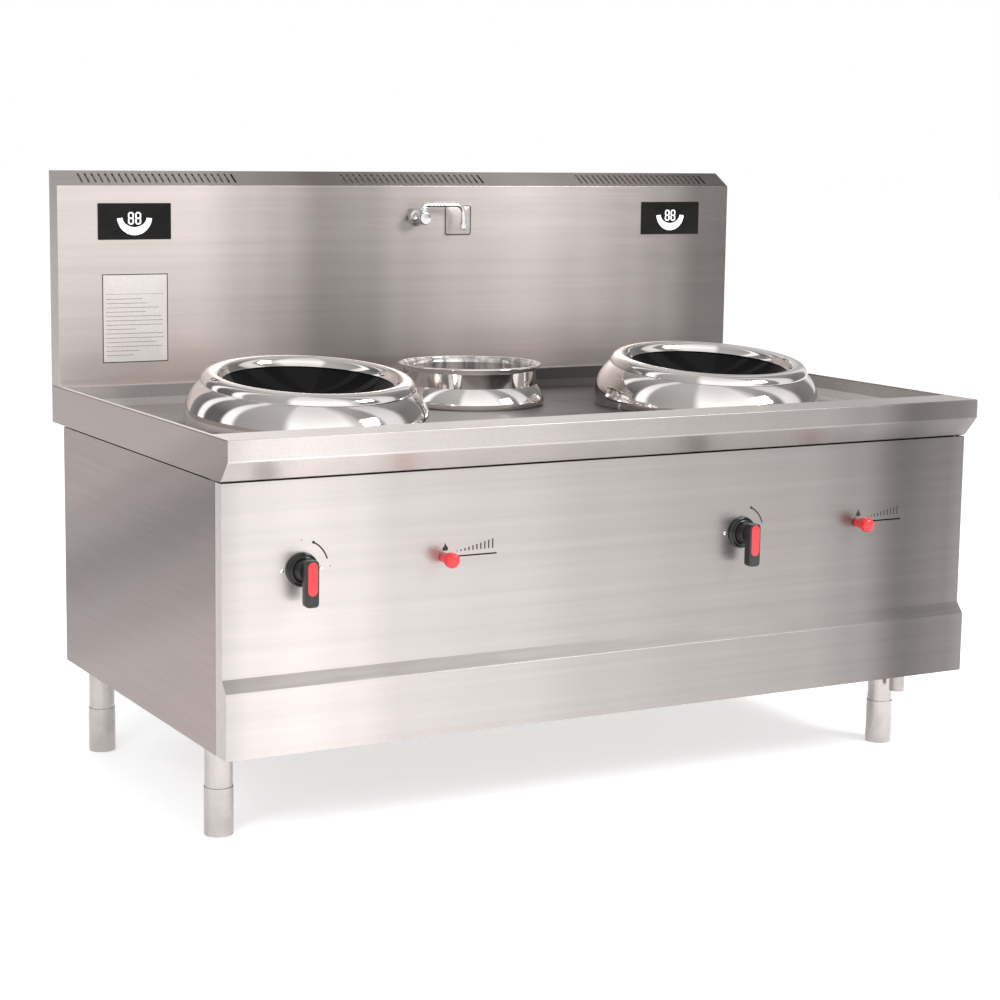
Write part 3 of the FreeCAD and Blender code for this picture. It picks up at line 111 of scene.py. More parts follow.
class Paint:
    """A material whose nodes are made one by one; each call returns the new output."""

    def __init__(self, name):
        self.material = bpy.data.materials.new(name)
        self.material.use_nodes = True
        self.tree = self.material.node_tree
        self.tree.nodes.clear()
        self.place = self.node("TexCoord", output="Object")

    def node(self, kind, settings=None, values=None, output=0):
        """Any node: its settings first, then the values or links of its sockets."""
        node = self.tree.nodes.new("ShaderNode" + kind)
        for name, setting in (settings or {}).items():
            if name == "stops":
                self.fill_ramp(node.color_ramp, setting)
            else:
                setattr(node, name, setting)
        for name, value in (values or {}).items():
            if isinstance(value, Value):
                self.tree.links.new(value.socket, node.inputs[name])
            else:
                node.inputs[name].default_value = value
        return Value(self, node.outputs[output]) if node.outputs else None

    def fill_ramp(self, ramp, stops):
        """Stops are pairs of a place from 0 to 1 and a colour."""
        ramp.interpolation = "EASE"
        while len(ramp.elements) < len(stops):
            ramp.elements.new(1.0)
        for element, (place, colour) in zip(ramp.elements, stops):
            element.position = place
            element.color = (*colour, 1.0)

    def maths(self, operation, first, second):
        """A sum on two numbers."""
        return self.node("Math", {"operation": operation}, {0: first, 1: second})

    def vectors(self, operation, first, second, output="Vector"):
        """A sum on two vectors."""
        return self.node("VectorMath", {"operation": operation}, {0: first, 1: second}, output)

    def noise(self, scale, detail=2.0, rough=0.5):
        """Noise over the piece, whose places are multiplied by one scale or one per axis."""
        place = self.vectors("MULTIPLY", self.place, tuple(np.ones(3) * scale))
        return self.node("TexNoise", {}, {
            "Vector": place, "Scale": 1.0, "Detail": detail, "Roughness": rough})

    def along(self, direction, value=None):
        """Distance of the place, or of another vector, along a direction."""
        return self.vectors("DOT_PRODUCT", value or self.place, direction, "Value")

    def spread(self, value, low, high, start=0.0, end=1.0):
        """The value moved from the range low to high into start to end, and held there."""
        return self.node("MapRange", {"clamp": True}, {
            "Value": value, "From Min": low, "From Max": high,
            "To Min": start, "To Max": end})

    def mixed(self, first, second, share, blend="MIX"):
        """Two colours mixed by a share from 0 to 1."""
        return self.node(
            "Mix", {"data_type": "RGBA", "blend_type": blend},
            {0: share, 6: first, 7: second}, output=2)

    def shaded(self, colour, shade):
        """A colour multiplied by a number."""
        grey = self.node("CombineColor", {}, {"Red": shade, "Green": shade, "Blue": shade})
        return self.mixed(colour, grey, 1.0, "MULTIPLY")

    def bumped(self, height, depth, strength=1.0):
        """A normal tilted by a height, for relief of this depth."""
        return self.node("Bump", {}, {
            "Height": height, "Distance": depth, "Strength": strength})

    def surface(self, **values):
        """The finished surface: a Principled shader with these socket values."""
        sockets = {name.replace("_", " "): value for name, value in values.items()}
        shader = self.node("BsdfPrincipled", {}, sockets)
        self.node("OutputMaterial", {}, {"Surface": shader})
        return self.material


def rgb(red, green, blue):
    """An opaque colour."""
    return (red, green, blue, 1.0)


# -------- finishes

STEEL_TINT = np.array((1.0, 0.925, 0.895))
SPLASH_TINT = np.array((1.0, 0.9, 0.86))
SIDE_TINT = np.array((1.0, 0.83, 0.79))
BRIGHT_TINT = np.array((1.0, 0.95, 0.925))
# Painted reflections: light and dark bands painted into the colour of the front, backsplash,
# sides and worktop ledges, as pairs of a place along a direction and a tone.
FRONT_PAINTED_REFLECTION = (
    (-0.90, 0.62), (-0.84, 0.74), (-0.74, 0.78), (-0.63, 0.72), (-0.52, 0.61),
    (-0.29, 0.56), (-0.05, 0.46), (0.19, 0.40), (0.46, 0.36), (0.60, 0.29),
    (0.73, 0.15), (0.85, 0.20), (0.90, 0.26))
SPLASH_PAINTED_REFLECTION = (
    (-0.90, 0.68), (-0.58, 0.68), (-0.44, 0.50), (-0.36, 0.42), (-0.25, 0.28),
    (-0.13, 0.32), (-0.04, 0.42), (0.12, 0.52), (0.30, 0.60), (0.46, 0.50),
    (0.60, 0.40), (0.70, 0.32), (0.82, 0.18), (0.90, 0.17))
SIDE_PAINTED_REFLECTION = (
    (0.02, 0.52), (0.28, 0.47), (0.42, 0.35), (0.55, 0.24), (0.66, 0.36), (0.74, 0.46))
SIDE_SLANT = (0, 0.33, 1)
LEDGE_PAINTED_REFLECTION = ((-0.90, 0.56), (-0.40, 0.42), (0.10, 0.36), (0.60, 0.26), (0.90, 0.30))
# Painted shade and painted reflection along the tray, darkest between the pot and the right well.
TRAY_PAINTED_SHADE = (
    (-0.90, 0.36), (-0.70, 0.22), (-0.40, 0.21), (-0.10, 0.26), (0.08, 0.08),
    (0.36, 0.045), (0.75, 0.08), (0.90, 0.38))


def painted_light_ramp(paint, painted_bands, direction, tint, lift=1.0):
    """Painted reflections and painted shade: broad soft bands of light and dark painted into a
    sheet's colour, along a direction.
    """
    low = painted_bands[0][0]
    span = painted_bands[-1][0] - low
    place = paint.spread(paint.along(direction), low, low + span)
    stops = [((at - low) / span, tuple(tint * tone * lift)) for at, tone in painted_bands]
    return paint.node("ValToRGB", {"stops": stops}, {"Fac": place})


def facing(paint, direction, least=0.55, full=0.85):
    """1 on the faces that look along a direction, 0 on those that look elsewhere."""
    normal = paint.node("NewGeometry", output="Normal")
    return paint.spread(paint.along(direction, normal), least, full)


def at_either_end(paint):
    """1 on the faces that look to the left or right."""
    return facing(paint, (-1, 0, 0)) + facing(paint, (1, 0, 0))


def brushed_sheet(name, grain, painted_bands=None, direction=(1, 0, 0), tint=STEEL_TINT, tone=0.45,
                  rough=0.33, lift=1.0, upper=1.0, ends=1.0):
    """Satin sheet: fine lines along the grain, faint streaks, and broad bands of painted
    reflection.

    `lift` multiplies the whole sheet, `upper` and `ends` the faces that look upwards and to
    either side, as painted shade.
    """
    paint = Paint(name)
    along = np.arange(3) == grain
    lines = paint.noise(np.where(along, 6.0, 900.0), 3.0)
    streaks = paint.noise(np.where(along, 0.8, 70.0))
    if painted_bands:
        base = painted_light_ramp(paint, painted_bands, direction, tint, lift)
    else:
        base = rgb(*(tint * tone * lift))
    # Painted shade: faces that look up are multiplied by upper, faces that look to either side by
    # ends.
    for share, factor in ((facing(paint, (0, 0, 1), 0.25, 0.5), upper),
                          (at_either_end(paint), ends)):
        if factor != 1.0:
            base = paint.shaded(base, 1.0 - share * (1.0 - factor))
    shade = paint.spread(streaks + lines * 0.5, 0.5, 1.0, 0.94, 1.04)
    colour = paint.shaded(base, shade)
    return paint.surface(
        Base_Color=colour, Metallic=0.9,
        Roughness=paint.spread(lines, 0.3, 0.7, rough - 0.05, rough + 0.06),
        Normal=paint.bumped(lines, 0.00006, 0.5))


def worktop_sheet(name):
    """The worktop: painted reflections in bands, on its fascia like the front's, on its ends like
    the sides', and on its ledges.
    """
    paint = Paint(name)
    lines = paint.noise((6.0, 900.0, 900.0), 3.0)
    scours = paint.noise(260.0, 4.0, rough=0.7)
    # Painted reflections: the fascia, the ends and the ledges each get their own bands painted
    # into the colour.
    front = painted_light_ramp(paint, FRONT_PAINTED_REFLECTION, (1, 0, 0), STEEL_TINT, 0.9)
    ends = painted_light_ramp(paint, SIDE_PAINTED_REFLECTION, SIDE_SLANT, SIDE_TINT, 0.76)
    ledges = painted_light_ramp(paint, LEDGE_PAINTED_REFLECTION, (1, 0, 0), STEEL_TINT)
    up = facing(paint, (0, 0, 1), 0.8, 0.95)
    base = paint.mixed(paint.mixed(front, ends, at_either_end(paint)), ledges, up)
    shade = paint.spread(scours + lines * 0.3, 0.45, 0.85, 0.9, 1.06)
    colour = paint.shaded(base, shade)
    return paint.surface(
        Base_Color=colour, Metallic=0.9 - up * 0.8, Roughness=0.31 + up * 0.2,
        Specular_IOR_Level=0.1, Normal=paint.bumped(lines, 0.00006, 0.5))


def tray_sheet(name):
    """The tray: scoured across and along, so it keeps little of its gloss; painted shade and
    painted reflection lie across it in bands.
    """
    paint = Paint(name)
    scours = paint.noise(260.0, 4.0, rough=0.7)
    wear = paint.noise(7.0, 4.0)
    # Painted shade and painted reflection: bands along X, darkest between the pot and the right
    # well.
    base = painted_light_ramp(paint, TRAY_PAINTED_SHADE, (1, 0, 0), STEEL_TINT)
    shade = paint.spread(scours + wear * 0.6, 0.6, 1.05, 0.86, 1.1)
    colour = paint.shaded(base, shade)
    return paint.surface(
        Base_Color=colour, Metallic=0.12, Roughness=paint.spread(wear, 0.3, 0.7, 0.42, 0.55),
        Specular_IOR_Level=0.04, Normal=paint.bumped(scours, 0.00008, 0.4))


def turned_steel(name, tone, rough, middle=None):
    """Bright turned or spun steel with faint smears and waves in its polish.

    Round a vessel's `middle` the walls that look inwards are satin, with upright streaks.
    """
    paint = Paint(name)
    smears = paint.noise((9.0, 9.0, 14.0), 3.0)
    lines = paint.noise((40.0, 40.0, 1400.0), 2.0)
    shade = paint.spread(smears, 0.3, 0.7, 0.93, 1.03)
    colour = paint.shaded(rgb(*(BRIGHT_TINT * tone)), shade)
    inward = 0.0
    if middle:
        spoke = paint.vectors("SUBTRACT", paint.place, middle)
        level = paint.vectors("MULTIPLY", spoke, (1, 1, 0))
        inward = facing(paint, level, -0.02, -0.06)
        streaks = paint.noise((55.0, 55.0, 3.0), 3.0)
        dim = paint.spread(streaks, 0.35, 0.62, 0.62, 0.0)
        colour = paint.shaded(colour, 1.0 - inward * dim)
    return paint.surface(
        Base_Color=colour, Metallic=1.0 - inward * 0.25,
        Roughness=paint.spread(smears + lines * 0.4, 0.5, 0.9, rough * 0.7, rough * 1.35),
        Normal=paint.bumped(lines + smears * 40.0, 0.00002, 0.35))


def chrome(name):
    """Chrome plate: a mirror with faint dull spots."""
    paint = Paint(name)
    spots = paint.noise(60.0, 3.0)
    return paint.surface(
        Base_Color=rgb(0.86, 0.86, 0.87), Metallic=1.0,
        Roughness=paint.spread(spots, 0.35, 0.75, 0.035, 0.09))


def leg_steel(name):
    """Drawn tube: lines up and down, mottled where it has been handled."""
    paint = Paint(name)
    lines = paint.noise((700.0, 700.0, 5.0), 3.0)
    mottle = paint.noise((28.0, 28.0, 20.0), 4.0)
    shade = paint.spread(mottle + lines * 0.35, 0.45, 0.9, 0.82, 1.05)
    colour = paint.shaded(rgb(*(STEEL_TINT * 0.52)), shade)
    return paint.surface(
        Base_Color=colour, Metallic=0.95,
        Roughness=paint.spread(mottle, 0.3, 0.7, 0.2, 0.32),
        Normal=paint.bumped(lines, 0.00004, 0.4))


def black_glass(name):
    """Glass ceramic: near black, gloss, with the faintest haze of cleaning."""
    paint = Paint(name)
    haze = paint.noise(14.0, 4.0)
    return paint.surface(
        Base_Color=rgb(0.003, 0.003, 0.0035), Metallic=0.0, Specular_IOR_Level=0.14,
        Roughness=paint.spread(haze, 0.3, 0.7, 0.05, 0.1))


def moulded(name, colour, rough, gloss=0.5):
    """Moulded plastic: one colour with a faint cloudiness and a fine skin."""
    paint = Paint(name)
    cloud = paint.noise(35.0, 2.0)
    skin = paint.noise(2500.0, 1.0)
    darker = tuple(part * 0.86 for part in colour)
    shade = paint.mixed(rgb(*darker), rgb(*colour), paint.spread(cloud, 0.35, 0.65))
    return paint.surface(
        Base_Color=shade, Metallic=0.0, Specular_IOR_Level=gloss,
        Roughness=paint.spread(cloud, 0.3, 0.7, rough - 0.04, rough + 0.05),
        Normal=paint.bumped(skin, 0.00004, 0.3))


def printed(name, colour, rough=0.55):
    """Screen-printed ink with a slightly uneven density."""
    paint = Paint(name)
    density = paint.noise(400.0, 2.0)
    lighter = tuple(min(1.0, part * 1.3 + 0.01) for part in colour)
    shade = paint.mixed(rgb(*colour), rgb(*lighter), paint.spread(density, 0.45, 0.8))
    return paint.surface(Base_Color=shade, Metallic=0.0, Roughness=rough)


def lit_white(name):
    """Lit segments behind dark glass, bright with a trace of unevenness."""
    paint = Paint(name)
    even = paint.noise(90.0, 1.0)
    glow = paint.mixed(rgb(0.74, 0.74, 0.76), rgb(0.86, 0.86, 0.87), paint.spread(even, 0.4, 0.6))
    return paint.surface(
        Base_Color=rgb(0.6, 0.6, 0.6), Roughness=0.4, Emission_Color=glow,
        Emission_Strength=0.8)


def wound_copper(name):
    """Stranded winding: copper tones and an uneven relief as of fine wires."""
    paint = Paint(name)
    strands = paint.noise(900.0, 2.0)
    colour = paint.mixed(rgb(0.42, 0.17, 0.08), rgb(0.62, 0.3, 0.16), strands)
    return paint.surface(
        Base_Color=colour, Metallic=0.8, Roughness=0.4,
        Normal=paint.bumped(strands, 0.0004, 0.6))


POT_LOW, POT_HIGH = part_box("soup_pot")
FINISHES = {
    # Bands of painted reflection on the sheets; upper and ends darken the faces that look up and
    # to either side as painted shade.
    "splash": brushed_sheet("splash_sheet", 0, SPLASH_PAINTED_REFLECTION, tint=SPLASH_TINT, rough=0.34,
                            lift=0.88, upper=0.8, ends=0.75),
    "front": brushed_sheet("front_sheet", 0, FRONT_PAINTED_REFLECTION, rough=0.34, lift=0.79, upper=0.8),
    "top": worktop_sheet("worktop_sheet"),
    "side": brushed_sheet("side_sheet", 1, SIDE_PAINTED_REFLECTION, SIDE_SLANT, SIDE_TINT, rough=0.34,
                          lift=0.65),
    "plain": brushed_sheet("plain_sheet", 0, tone=0.42),
    "tray": tray_sheet("tray_sheet"),
    "polished": turned_steel("polished_steel", 0.82, 0.07),
    "pot": turned_steel("pot_steel", 0.84, 0.06, POT_LOW.lerp(POT_HIGH, 0.5)),
    "chrome": chrome("chrome_plate"),
    "leg": leg_steel("leg_tube"),
    "glass": black_glass("black_glass_ceramic"),
    "window": moulded("display_black", (0.01, 0.0095, 0.009), 0.16, 0.12),
    "lever": moulded("lever_black", (0.014, 0.013, 0.013), 0.3),
    "base": moulded("escutcheon_black", (0.012, 0.011, 0.011), 0.16),
    "red": moulded("signal_red", (0.72, 0.035, 0.04), 0.3),
    "ink": printed("black_ink", (0.012, 0.011, 0.011)),
    "pale_ink": printed("grey_ink", (0.22, 0.2, 0.2)),
    "plate": printed("plate_ground", (0.5, 0.465, 0.45), 0.4),
    "lit": lit_white("lit_segments"),
    "rubber": moulded("seal_black", (0.02, 0.02, 0.02), 0.7),
    "copper": wound_copper("coil_winding"),
    "carrier": moulded("carrier_grey", (0.1, 0.1, 0.11), 0.55),
    "case": brushed_sheet("case_sheet", 0, tone=0.5, rough=0.4),
    "fan": moulded("fan_black", (0.02, 0.02, 0.022), 0.45),
    "board": moulded("board_housing", (0.03, 0.05, 0.035), 0.5),
    "frame": moulded("frame_grey", (0.16, 0.16, 0.165), 0.5),
    "gland": moulded("gland_grey", (0.05, 0.05, 0.052), 0.5),
}


# -------- meshes

def grid(points, wrap_rows=False, wrap_columns=False):
    """Corners and quads of a grid of points; faces look along columns x rows."""
    rows, columns = points.shape[:2]
    index = np.arange(rows * columns).reshape(rows, columns)
    if wrap_rows:
        index = np.concatenate([index, index[:1]], axis=0)
    if wrap_columns:
        index = np.concatenate([index, index[:, :1]], axis=1)
    quads = np.stack(
        [index[:-1, :-1], index[:-1, 1:], index[1:, 1:], index[1:, :-1]], axis=-1)
    return points.reshape(-1, 3), quads.reshape(-1, 4)


def full_turn(count):
    """Angles evenly round a circle."""
    return 2 * math.pi * np.arange(count) / count


def on_circle(angle):
    """Points of the unit circle at these angles."""
    return np.stack([np.cos(angle), np.sin(angle)], axis=1)


def left_of(ahead):
    """Unit vectors a quarter turn to the left of steps in a plane."""
    ahead = ahead / np.linalg.norm(ahead, axis=1)[:, None]
    return np.stack([-ahead[:, 1], ahead[:, 0]], axis=1)


def arc(start, middle, end, steps=12):
    """Points on the circle through three points, after the first, to the last."""
    a, b, c = (complex(*point) for point in (start, middle, end))
    w = (c - a) / (b - a)
    centre = (b - a) * (w - abs(w) ** 2) / (2j * w.imag) + a
    first = np.angle(a - centre)
    turn = np.angle((c - centre) / (a - centre)) % (2 * math.pi)
    half = np.angle((b - centre) / (a - centre)) % (2 * math.pi)
    if half > turn:
        turn -= 2 * math.pi
    angles = first + turn * np.arange(1, steps + 1) / steps
    around = centre + abs(a - centre) * np.exp(1j * angles)
    return np.stack([around.real, around.imag], axis=1)


def outline(start, *steps):
    """A line of points in a plane; a step is a point, or a pair: an arc's middle, its end."""
    points = [np.array([start], float)]
    here = start
    for step in steps:
        if isinstance(step[0], tuple):
            points.append(arc(here, *step))
            here = step[1]
        else:
            points.append(np.array([step], float))
            here = step
    return np.concatenate(points)


def softened(points, radius, steps=4):
    """A polygon whose corners are replaced by curves that touch its sides.

    Each corner is cut at `radius` on both sides (at most 0.45 of a side) and bridged by
    a quadratic curve with the old corner as its control point.
    """
    points = np.asarray(points, float)
    before = np.roll(points, 1, axis=0) - points
    after = np.roll(points, -1, axis=0) - points
    reach_in = np.linalg.norm(before, axis=1)[:, None]
    reach_out = np.linalg.norm(after, axis=1)[:, None]
    start = points + before * np.minimum(radius / reach_in, 0.45)
    end = points + after * np.minimum(radius / reach_out, 0.45)
    share = np.linspace(0, 1, steps + 1)[None, :, None]
    curve = (start[:, None] * (1 - share) ** 2 + points[:, None] * 2 * share * (1 - share)
             + end[:, None] * share ** 2)
    return curve.reshape(-1, 2)


def rounded_profile(points, radius):
    """A profile in millimetres with softened corners, but square where it meets the axis."""
    profile = softened(MM * np.array(points, float), radius * MM)
    profile[:, 0] = np.where(profile[:, 0] < 1.05 * radius * MM, 0, profile[:, 0])
    return profile


def walled(line, thickness):
    """A closed loop: an open line and the same line moved sideways by a thickness."""
    sideways = left_of(np.gradient(line, axis=0))
    return np.concatenate([line, (line + sideways * thickness)[::-1]])


def turned(profile, segments=160):
    """A closed profile (radius, height) turned about Z, with its faces outwards."""
    radius, height = profile.T
    if np.sum(radius * np.roll(height, -1) - np.roll(radius, -1) * height) < 0:
        profile = profile[::-1]
    radius, height = profile.T[:, :, None]
    angle = full_turn(segments)
    points = np.stack(
        [radius * np.cos(angle), radius * np.sin(angle), height + 0 * angle], axis=-1)
    return grid(points, wrap_rows=True, wrap_columns=True)


def tube(path, radius, sides):
    """A round tube, closed at both ends, along points in an upright plane across Y."""
    ahead = np.gradient(path, axis=0)
    ahead /= np.linalg.norm(ahead, axis=1)[:, None]
    angle = full_turn(sides)[None, :, None]
    ring = (np.cross(Y, ahead)[:, None] * np.cos(angle) + Y * np.sin(angle)) * radius
    ring = np.concatenate([ring[:1] * 0, ring, ring[-1:] * 0])
    middles = np.concatenate([path[:1], path, path[-1:]])
    return grid((middles[:, None] + ring)[:, ::-1], wrap_columns=True)


def lofted(shape, stations):
    """A solid between flat ends: stations are (depth, inset) of an outline in XZ.

    The outline is drawn in towards its middle by the inset, along its own normals, and
    moved to the depth along Y. The ends close at the outline's middle.
    """
    inward = left_of(np.roll(shape, -1, axis=0) - np.roll(shape, 1, axis=0))
    if np.sum((shape.mean(0) - shape) * inward) < 0:
        inward = -inward
    rings = []
    for depth, inset in stations:
        ring = shape + inward * inset
        rings.append(np.stack([ring[:, 0], np.full(len(ring), depth), ring[:, 1]], axis=1))
    rings = [rings[0] * 0 + rings[0].mean(0)] + rings + [rings[-1] * 0 + rings[-1].mean(0)]
    return grid(np.stack(rings), wrap_columns=True)


def moved(part, offset, turn=None):
    """A part turned by a 3x3 matrix and then moved."""
    points, quads = part
    if turn is not None:
        points = points @ np.asarray(turn).T
    return points + np.asarray(offset, float), quads


def turn_to(axis):
    """The rotation that takes Z to an axis, as a 3x3 array."""
    return np.array(Vector((0, 0, 1)).rotation_difference(Vector(axis)).to_matrix())


def piece(name, parts, finish, body=BODY, replaces=(), sharp=32.0, outward=False):
    """One object from several surfaces: its faces, finish, body and stood-for nodes."""
    points = np.concatenate([part[0] for part in parts])
    offsets = np.cumsum([0] + [len(part[0]) for part in parts[:-1]])
    quads = np.concatenate([part[1] + offset for part, offset in zip(parts, offsets)])
    mesh = bpy.data.meshes.new(name)
    mesh.from_pydata(points.tolist(), [], quads.tolist())
    made = bmesh.new()
    made.from_mesh(mesh)
    bmesh.ops.remove_doubles(made, verts=made.verts, dist=1e-6)
    bmesh.ops.dissolve_degenerate(made, dist=1e-7, edges=made.edges)
    if outward:
        bmesh.ops.recalc_face_normals(made, faces=made.faces)
    made.to_mesh(mesh)
    made.free()
    mesh.shade_smooth()
    mesh.set_sharp_from_angle(angle=math.radians(sharp))
    return dressed(bpy.data.objects.new(name, mesh), finish, body, replaces)


def dressed(item, finish, body, replaces=()):
    """The object with its finish, body and the nodes it stands for."""
    bpy.context.scene.collection.objects.link(item)
    item.data.materials.clear()
    item.data.materials.append(FINISHES[finish])
    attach(item, body)
    if replaces:
        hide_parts(*replaces)
    return item


def folded(node, finish, bend):
    """A sheet piece with its long outer folds rounded to the bend's radius.

    A fold is a long enough convex edge between two faces that are wide enough for it.
    """
    mesh = nodes[node].data.copy()
    made = bmesh.new()
    made.from_mesh(mesh)
    bmesh.ops.remove_doubles(made, verts=made.verts, dist=1e-6)
    bmesh.ops.dissolve_limit(
        made, angle_limit=math.radians(0.5), verts=made.verts, edges=made.edges)
    folds = []
    for edge in made.edges:
        if len(edge.link_faces) != 2 or edge.calc_length() < SHORTEST_FOLD:
            continue
        narrow = min(face.calc_area() / edge.calc_length() for face in edge.link_faces)
        if edge.calc_face_angle_signed(0) > LEAST_FOLD and narrow > FOLD_ROOM * bend:
            folds.append(edge)
    bmesh.ops.bevel(
        made, geom=folds, offset=bend, segments=3, profile=0.5, affect="EDGES",
        clamp_overlap=True)
    made.to_mesh(mesh)
    made.free()
    mesh.shade_flat()
    sheet = bpy.data.objects.new(node + "_sheet", mesh)
    return dressed(sheet, finish, BODY, (node,))


def measured(node):
    """The middle and the size of a node's box, then its low and high corners."""
    low, high = (np.array(corner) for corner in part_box(node))
    return (low + high) / 2, high - low, low, high


# -------- sheet metal

WORKTOP_BEND = 2.5 * MM
SHEET_BEND = 2.0 * MM
SHORTEST_FOLD = 50 * MM
LEAST_FOLD = math.radians(20)
FOLD_ROOM = 2.2


def sheets():
    """The folded outer sheets: worktop, backsplash, front panel and side panels."""
    folded("worktop", "top", WORKTOP_BEND)
    folded("backsplash_shell", "splash", SHEET_BEND)
    folded("front_panel", "front", SHEET_BEND)
    for side in SIDES:
        folded(side + "_side_panel", "side", SHEET_BEND)


# -------- wok wells

TURNED_SHARP = 40
WELL_SEGMENTS = 224
TILT = math.radians(5.8)
SEAM_RADIUS = 228 * MM
BULGE_RADIUS = 262 * MM
BULGE_DROP = 80 * MM
COLLAR_FOOT = 259 * MM
COLLAR_SHEET = 2 * MM
SEAT_RADIUS = 210 * MM
SEAT_INSIDE = 197 * MM
SEAT_DROP = 8 * MM
RIM_OVERHANG = 2 * MM
CREST = 20.5 * MM
CREST_RADIUS = 201 * MM
GLASS_EDGE = 184 * MM
GLASS_THICK = 5 * MM
GLASS_FLANGE = 206 * MM
GLASS_TOP = 0 * MM
BOWL_DEPTH = 95 * MM
TRAY_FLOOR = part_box("left_wok_collar")[0].z


def well_place(side):
    """The middle of a well's seam, above the middle of its bowl's edge, and its tilt."""
    low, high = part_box(side + "_glass_bowl")
    turn = np.array(Matrix.Rotation(TILT, 3, "X"))
    top = turn @ np.array((0, GLASS_FLANGE, GLASS_TOP))
    under = turn @ np.array((0, GLASS_FLANGE, GLASS_TOP - GLASS_THICK))
    return np.array(((low.x + high.x) / 2, high.y - under[1], high.z - top[2])), turn


def collar_profile():
    """Outer line of the collar: seat, step up to the seam, dome and tuck."""
    seam, bulge, drop, foot = SEAM_RADIUS, BULGE_RADIUS, BULGE_DROP, COLLAR_FOOT
    return outline(
        (SEAT_INSIDE, -SEAT_DROP), (SEAT_RADIUS, -SEAT_DROP), (SEAT_RADIUS, 0), (seam, 0),
        ((seam + 0.72 * (bulge - seam), -0.38 * drop), (bulge, -drop)),
        (((bulge + foot) / 2 + MM, -1.3 * drop), (foot, -1.6 * drop)))


def steel_ring(name, part, node):
    """A polished turned piece that stands for one node."""
    return piece(name, [part], "polished", replaces=(node,),
                 sharp=TURNED_SHARP)


def wok_collar(side):
    """The collar, cut level on the tray's floor, with the sheet's cut edge closed again."""
    place, turn = well_place(side)
    part = moved(
        turned(walled(collar_profile(), -COLLAR_SHEET), WELL_SEGMENTS), place, turn)
    ring = steel_ring(side + "_collar_ring", part, side + "_wok_collar")
    made = bmesh.new()
    made.from_mesh(ring.data)
    bmesh.ops.bisect_plane(
        made, geom=made.verts[:] + made.edges[:] + made.faces[:],
        plane_co=(0, 0, TRAY_FLOOR), plane_no=(0, 0, -1), clear_outer=True)
    open_edges = [edge for edge in made.edges if edge.is_boundary]
    bmesh.ops.bridge_loops(made, edges=open_edges)
    made.to_mesh(ring.data)
    made.free()


def wok_rim(side):
    """Rolled rim: flange on the collar, crest, slope down to the glass."""
    place, turn = well_place(side)
    outer = SEAM_RADIUS + RIM_OVERHANG
    slope = CREST_RADIUS - GLASS_EDGE
    lip = GLASS_TOP + 0.3 * MM + 0.65 * COLLAR_SHEET
    line = outline(
        (SEAT_RADIUS + RIM_OVERHANG, 0), (outer, 0),
        ((outer - 0.24 * (outer - CREST_RADIUS), 0.74 * CREST), (CREST_RADIUS, CREST)),
        ((CREST_RADIUS - 0.37 * slope, 0.83 * CREST),
         (CREST_RADIUS - 0.65 * slope, 0.42 * CREST)),
        (GLASS_EDGE, lip))
    part = moved(turned(walled(line, COLLAR_SHEET), WELL_SEGMENTS), place, turn)
    steel_ring(side + "_rim_ring", part, side + "_wok_rim")


def dish_line(edge, height, bottom, steps=40):
    """Arc of a sphere from its edge down to its lowest point on the axis."""
    rise = height - bottom
    radius = (edge ** 2 + rise ** 2) / (2 * rise)
    angle = np.linspace(math.asin(edge / radius), 0, steps)
    return np.stack([radius * np.sin(angle), bottom + radius * (1 - np.cos(angle))], axis=1)


def glass_bowl(side):
    """The dish: its upper and under sides are arcs of spheres, joined by a square edge."""
    place, turn = well_place(side)
    inside = dish_line(GLASS_EDGE + 0.8 * GLASS_THICK, GLASS_TOP, GLASS_TOP - BOWL_DEPTH)
    under = dish_line(
        GLASS_EDGE + 1.6 * GLASS_THICK, GLASS_TOP - GLASS_THICK,
        GLASS_TOP - BOWL_DEPTH - GLASS_THICK)
    rim = np.array([(GLASS_FLANGE, GLASS_TOP - GLASS_THICK), (GLASS_FLANGE, GLASS_TOP)])
    profile = np.concatenate([inside, under[::-1], rim])
    part = moved(turned(profile, 192), place, turn)
    piece(side + "_bowl", [part], "glass",
          replaces=(side + "_glass_bowl",), sharp=TURNED_SHARP)


# -------- soup pot

POT_BAND = 155 * MM
POT_BAND_HEIGHT = 47 * MM
POT_FLARE = 8.5 * MM
POT_BEAD = 3 * MM
POT_WELL = 142 * MM
POT_DEPTH = 200 * MM
POT_CORNER = 28 * MM
POT_SHEET = 1.5 * MM
POT_COLLAR = 174 * MM
POT_COLLAR_FOOT = 167 * MM
POT_SEAT = 145 * MM
POT_PLACE = (0, (POT_LOW.y + POT_HIGH.y) / 2, 0)


def soup_pot():
    """The pot: rounded floor, well, shoulder, band and a flare that ends in a rolled bead."""
    rim = POT_HIGH.z
    seat = rim - POT_BAND_HEIGHT
    floor = rim - POT_DEPTH
    slack = POT_CORNER * (1 - math.sqrt(0.5))
    lip = rim - POT_BEAD
    line = outline(
        (0, floor), (POT_WELL - POT_CORNER, floor),
        ((POT_WELL - slack, floor + slack), (POT_WELL, floor + POT_CORNER)),
        (POT_WELL, seat), (POT_BAND, seat), (POT_BAND, lip - 1.4 * POT_FLARE),
        ((POT_BAND + 0.29 * POT_FLARE, lip - 0.5 * POT_FLARE), (POT_BAND + POT_FLARE, lip)))
    bead = on_circle(full_turn(20)) * POT_BEAD + (POT_BAND + POT_FLARE, lip)
    parts = [moved(turned(walled(line, POT_SHEET)), POT_PLACE),
             moved(turned(bead), POT_PLACE)]
    piece("soup_pot_vessel", parts, "pot", "pot_body", ("soup_pot",),
          TURNED_SHARP)


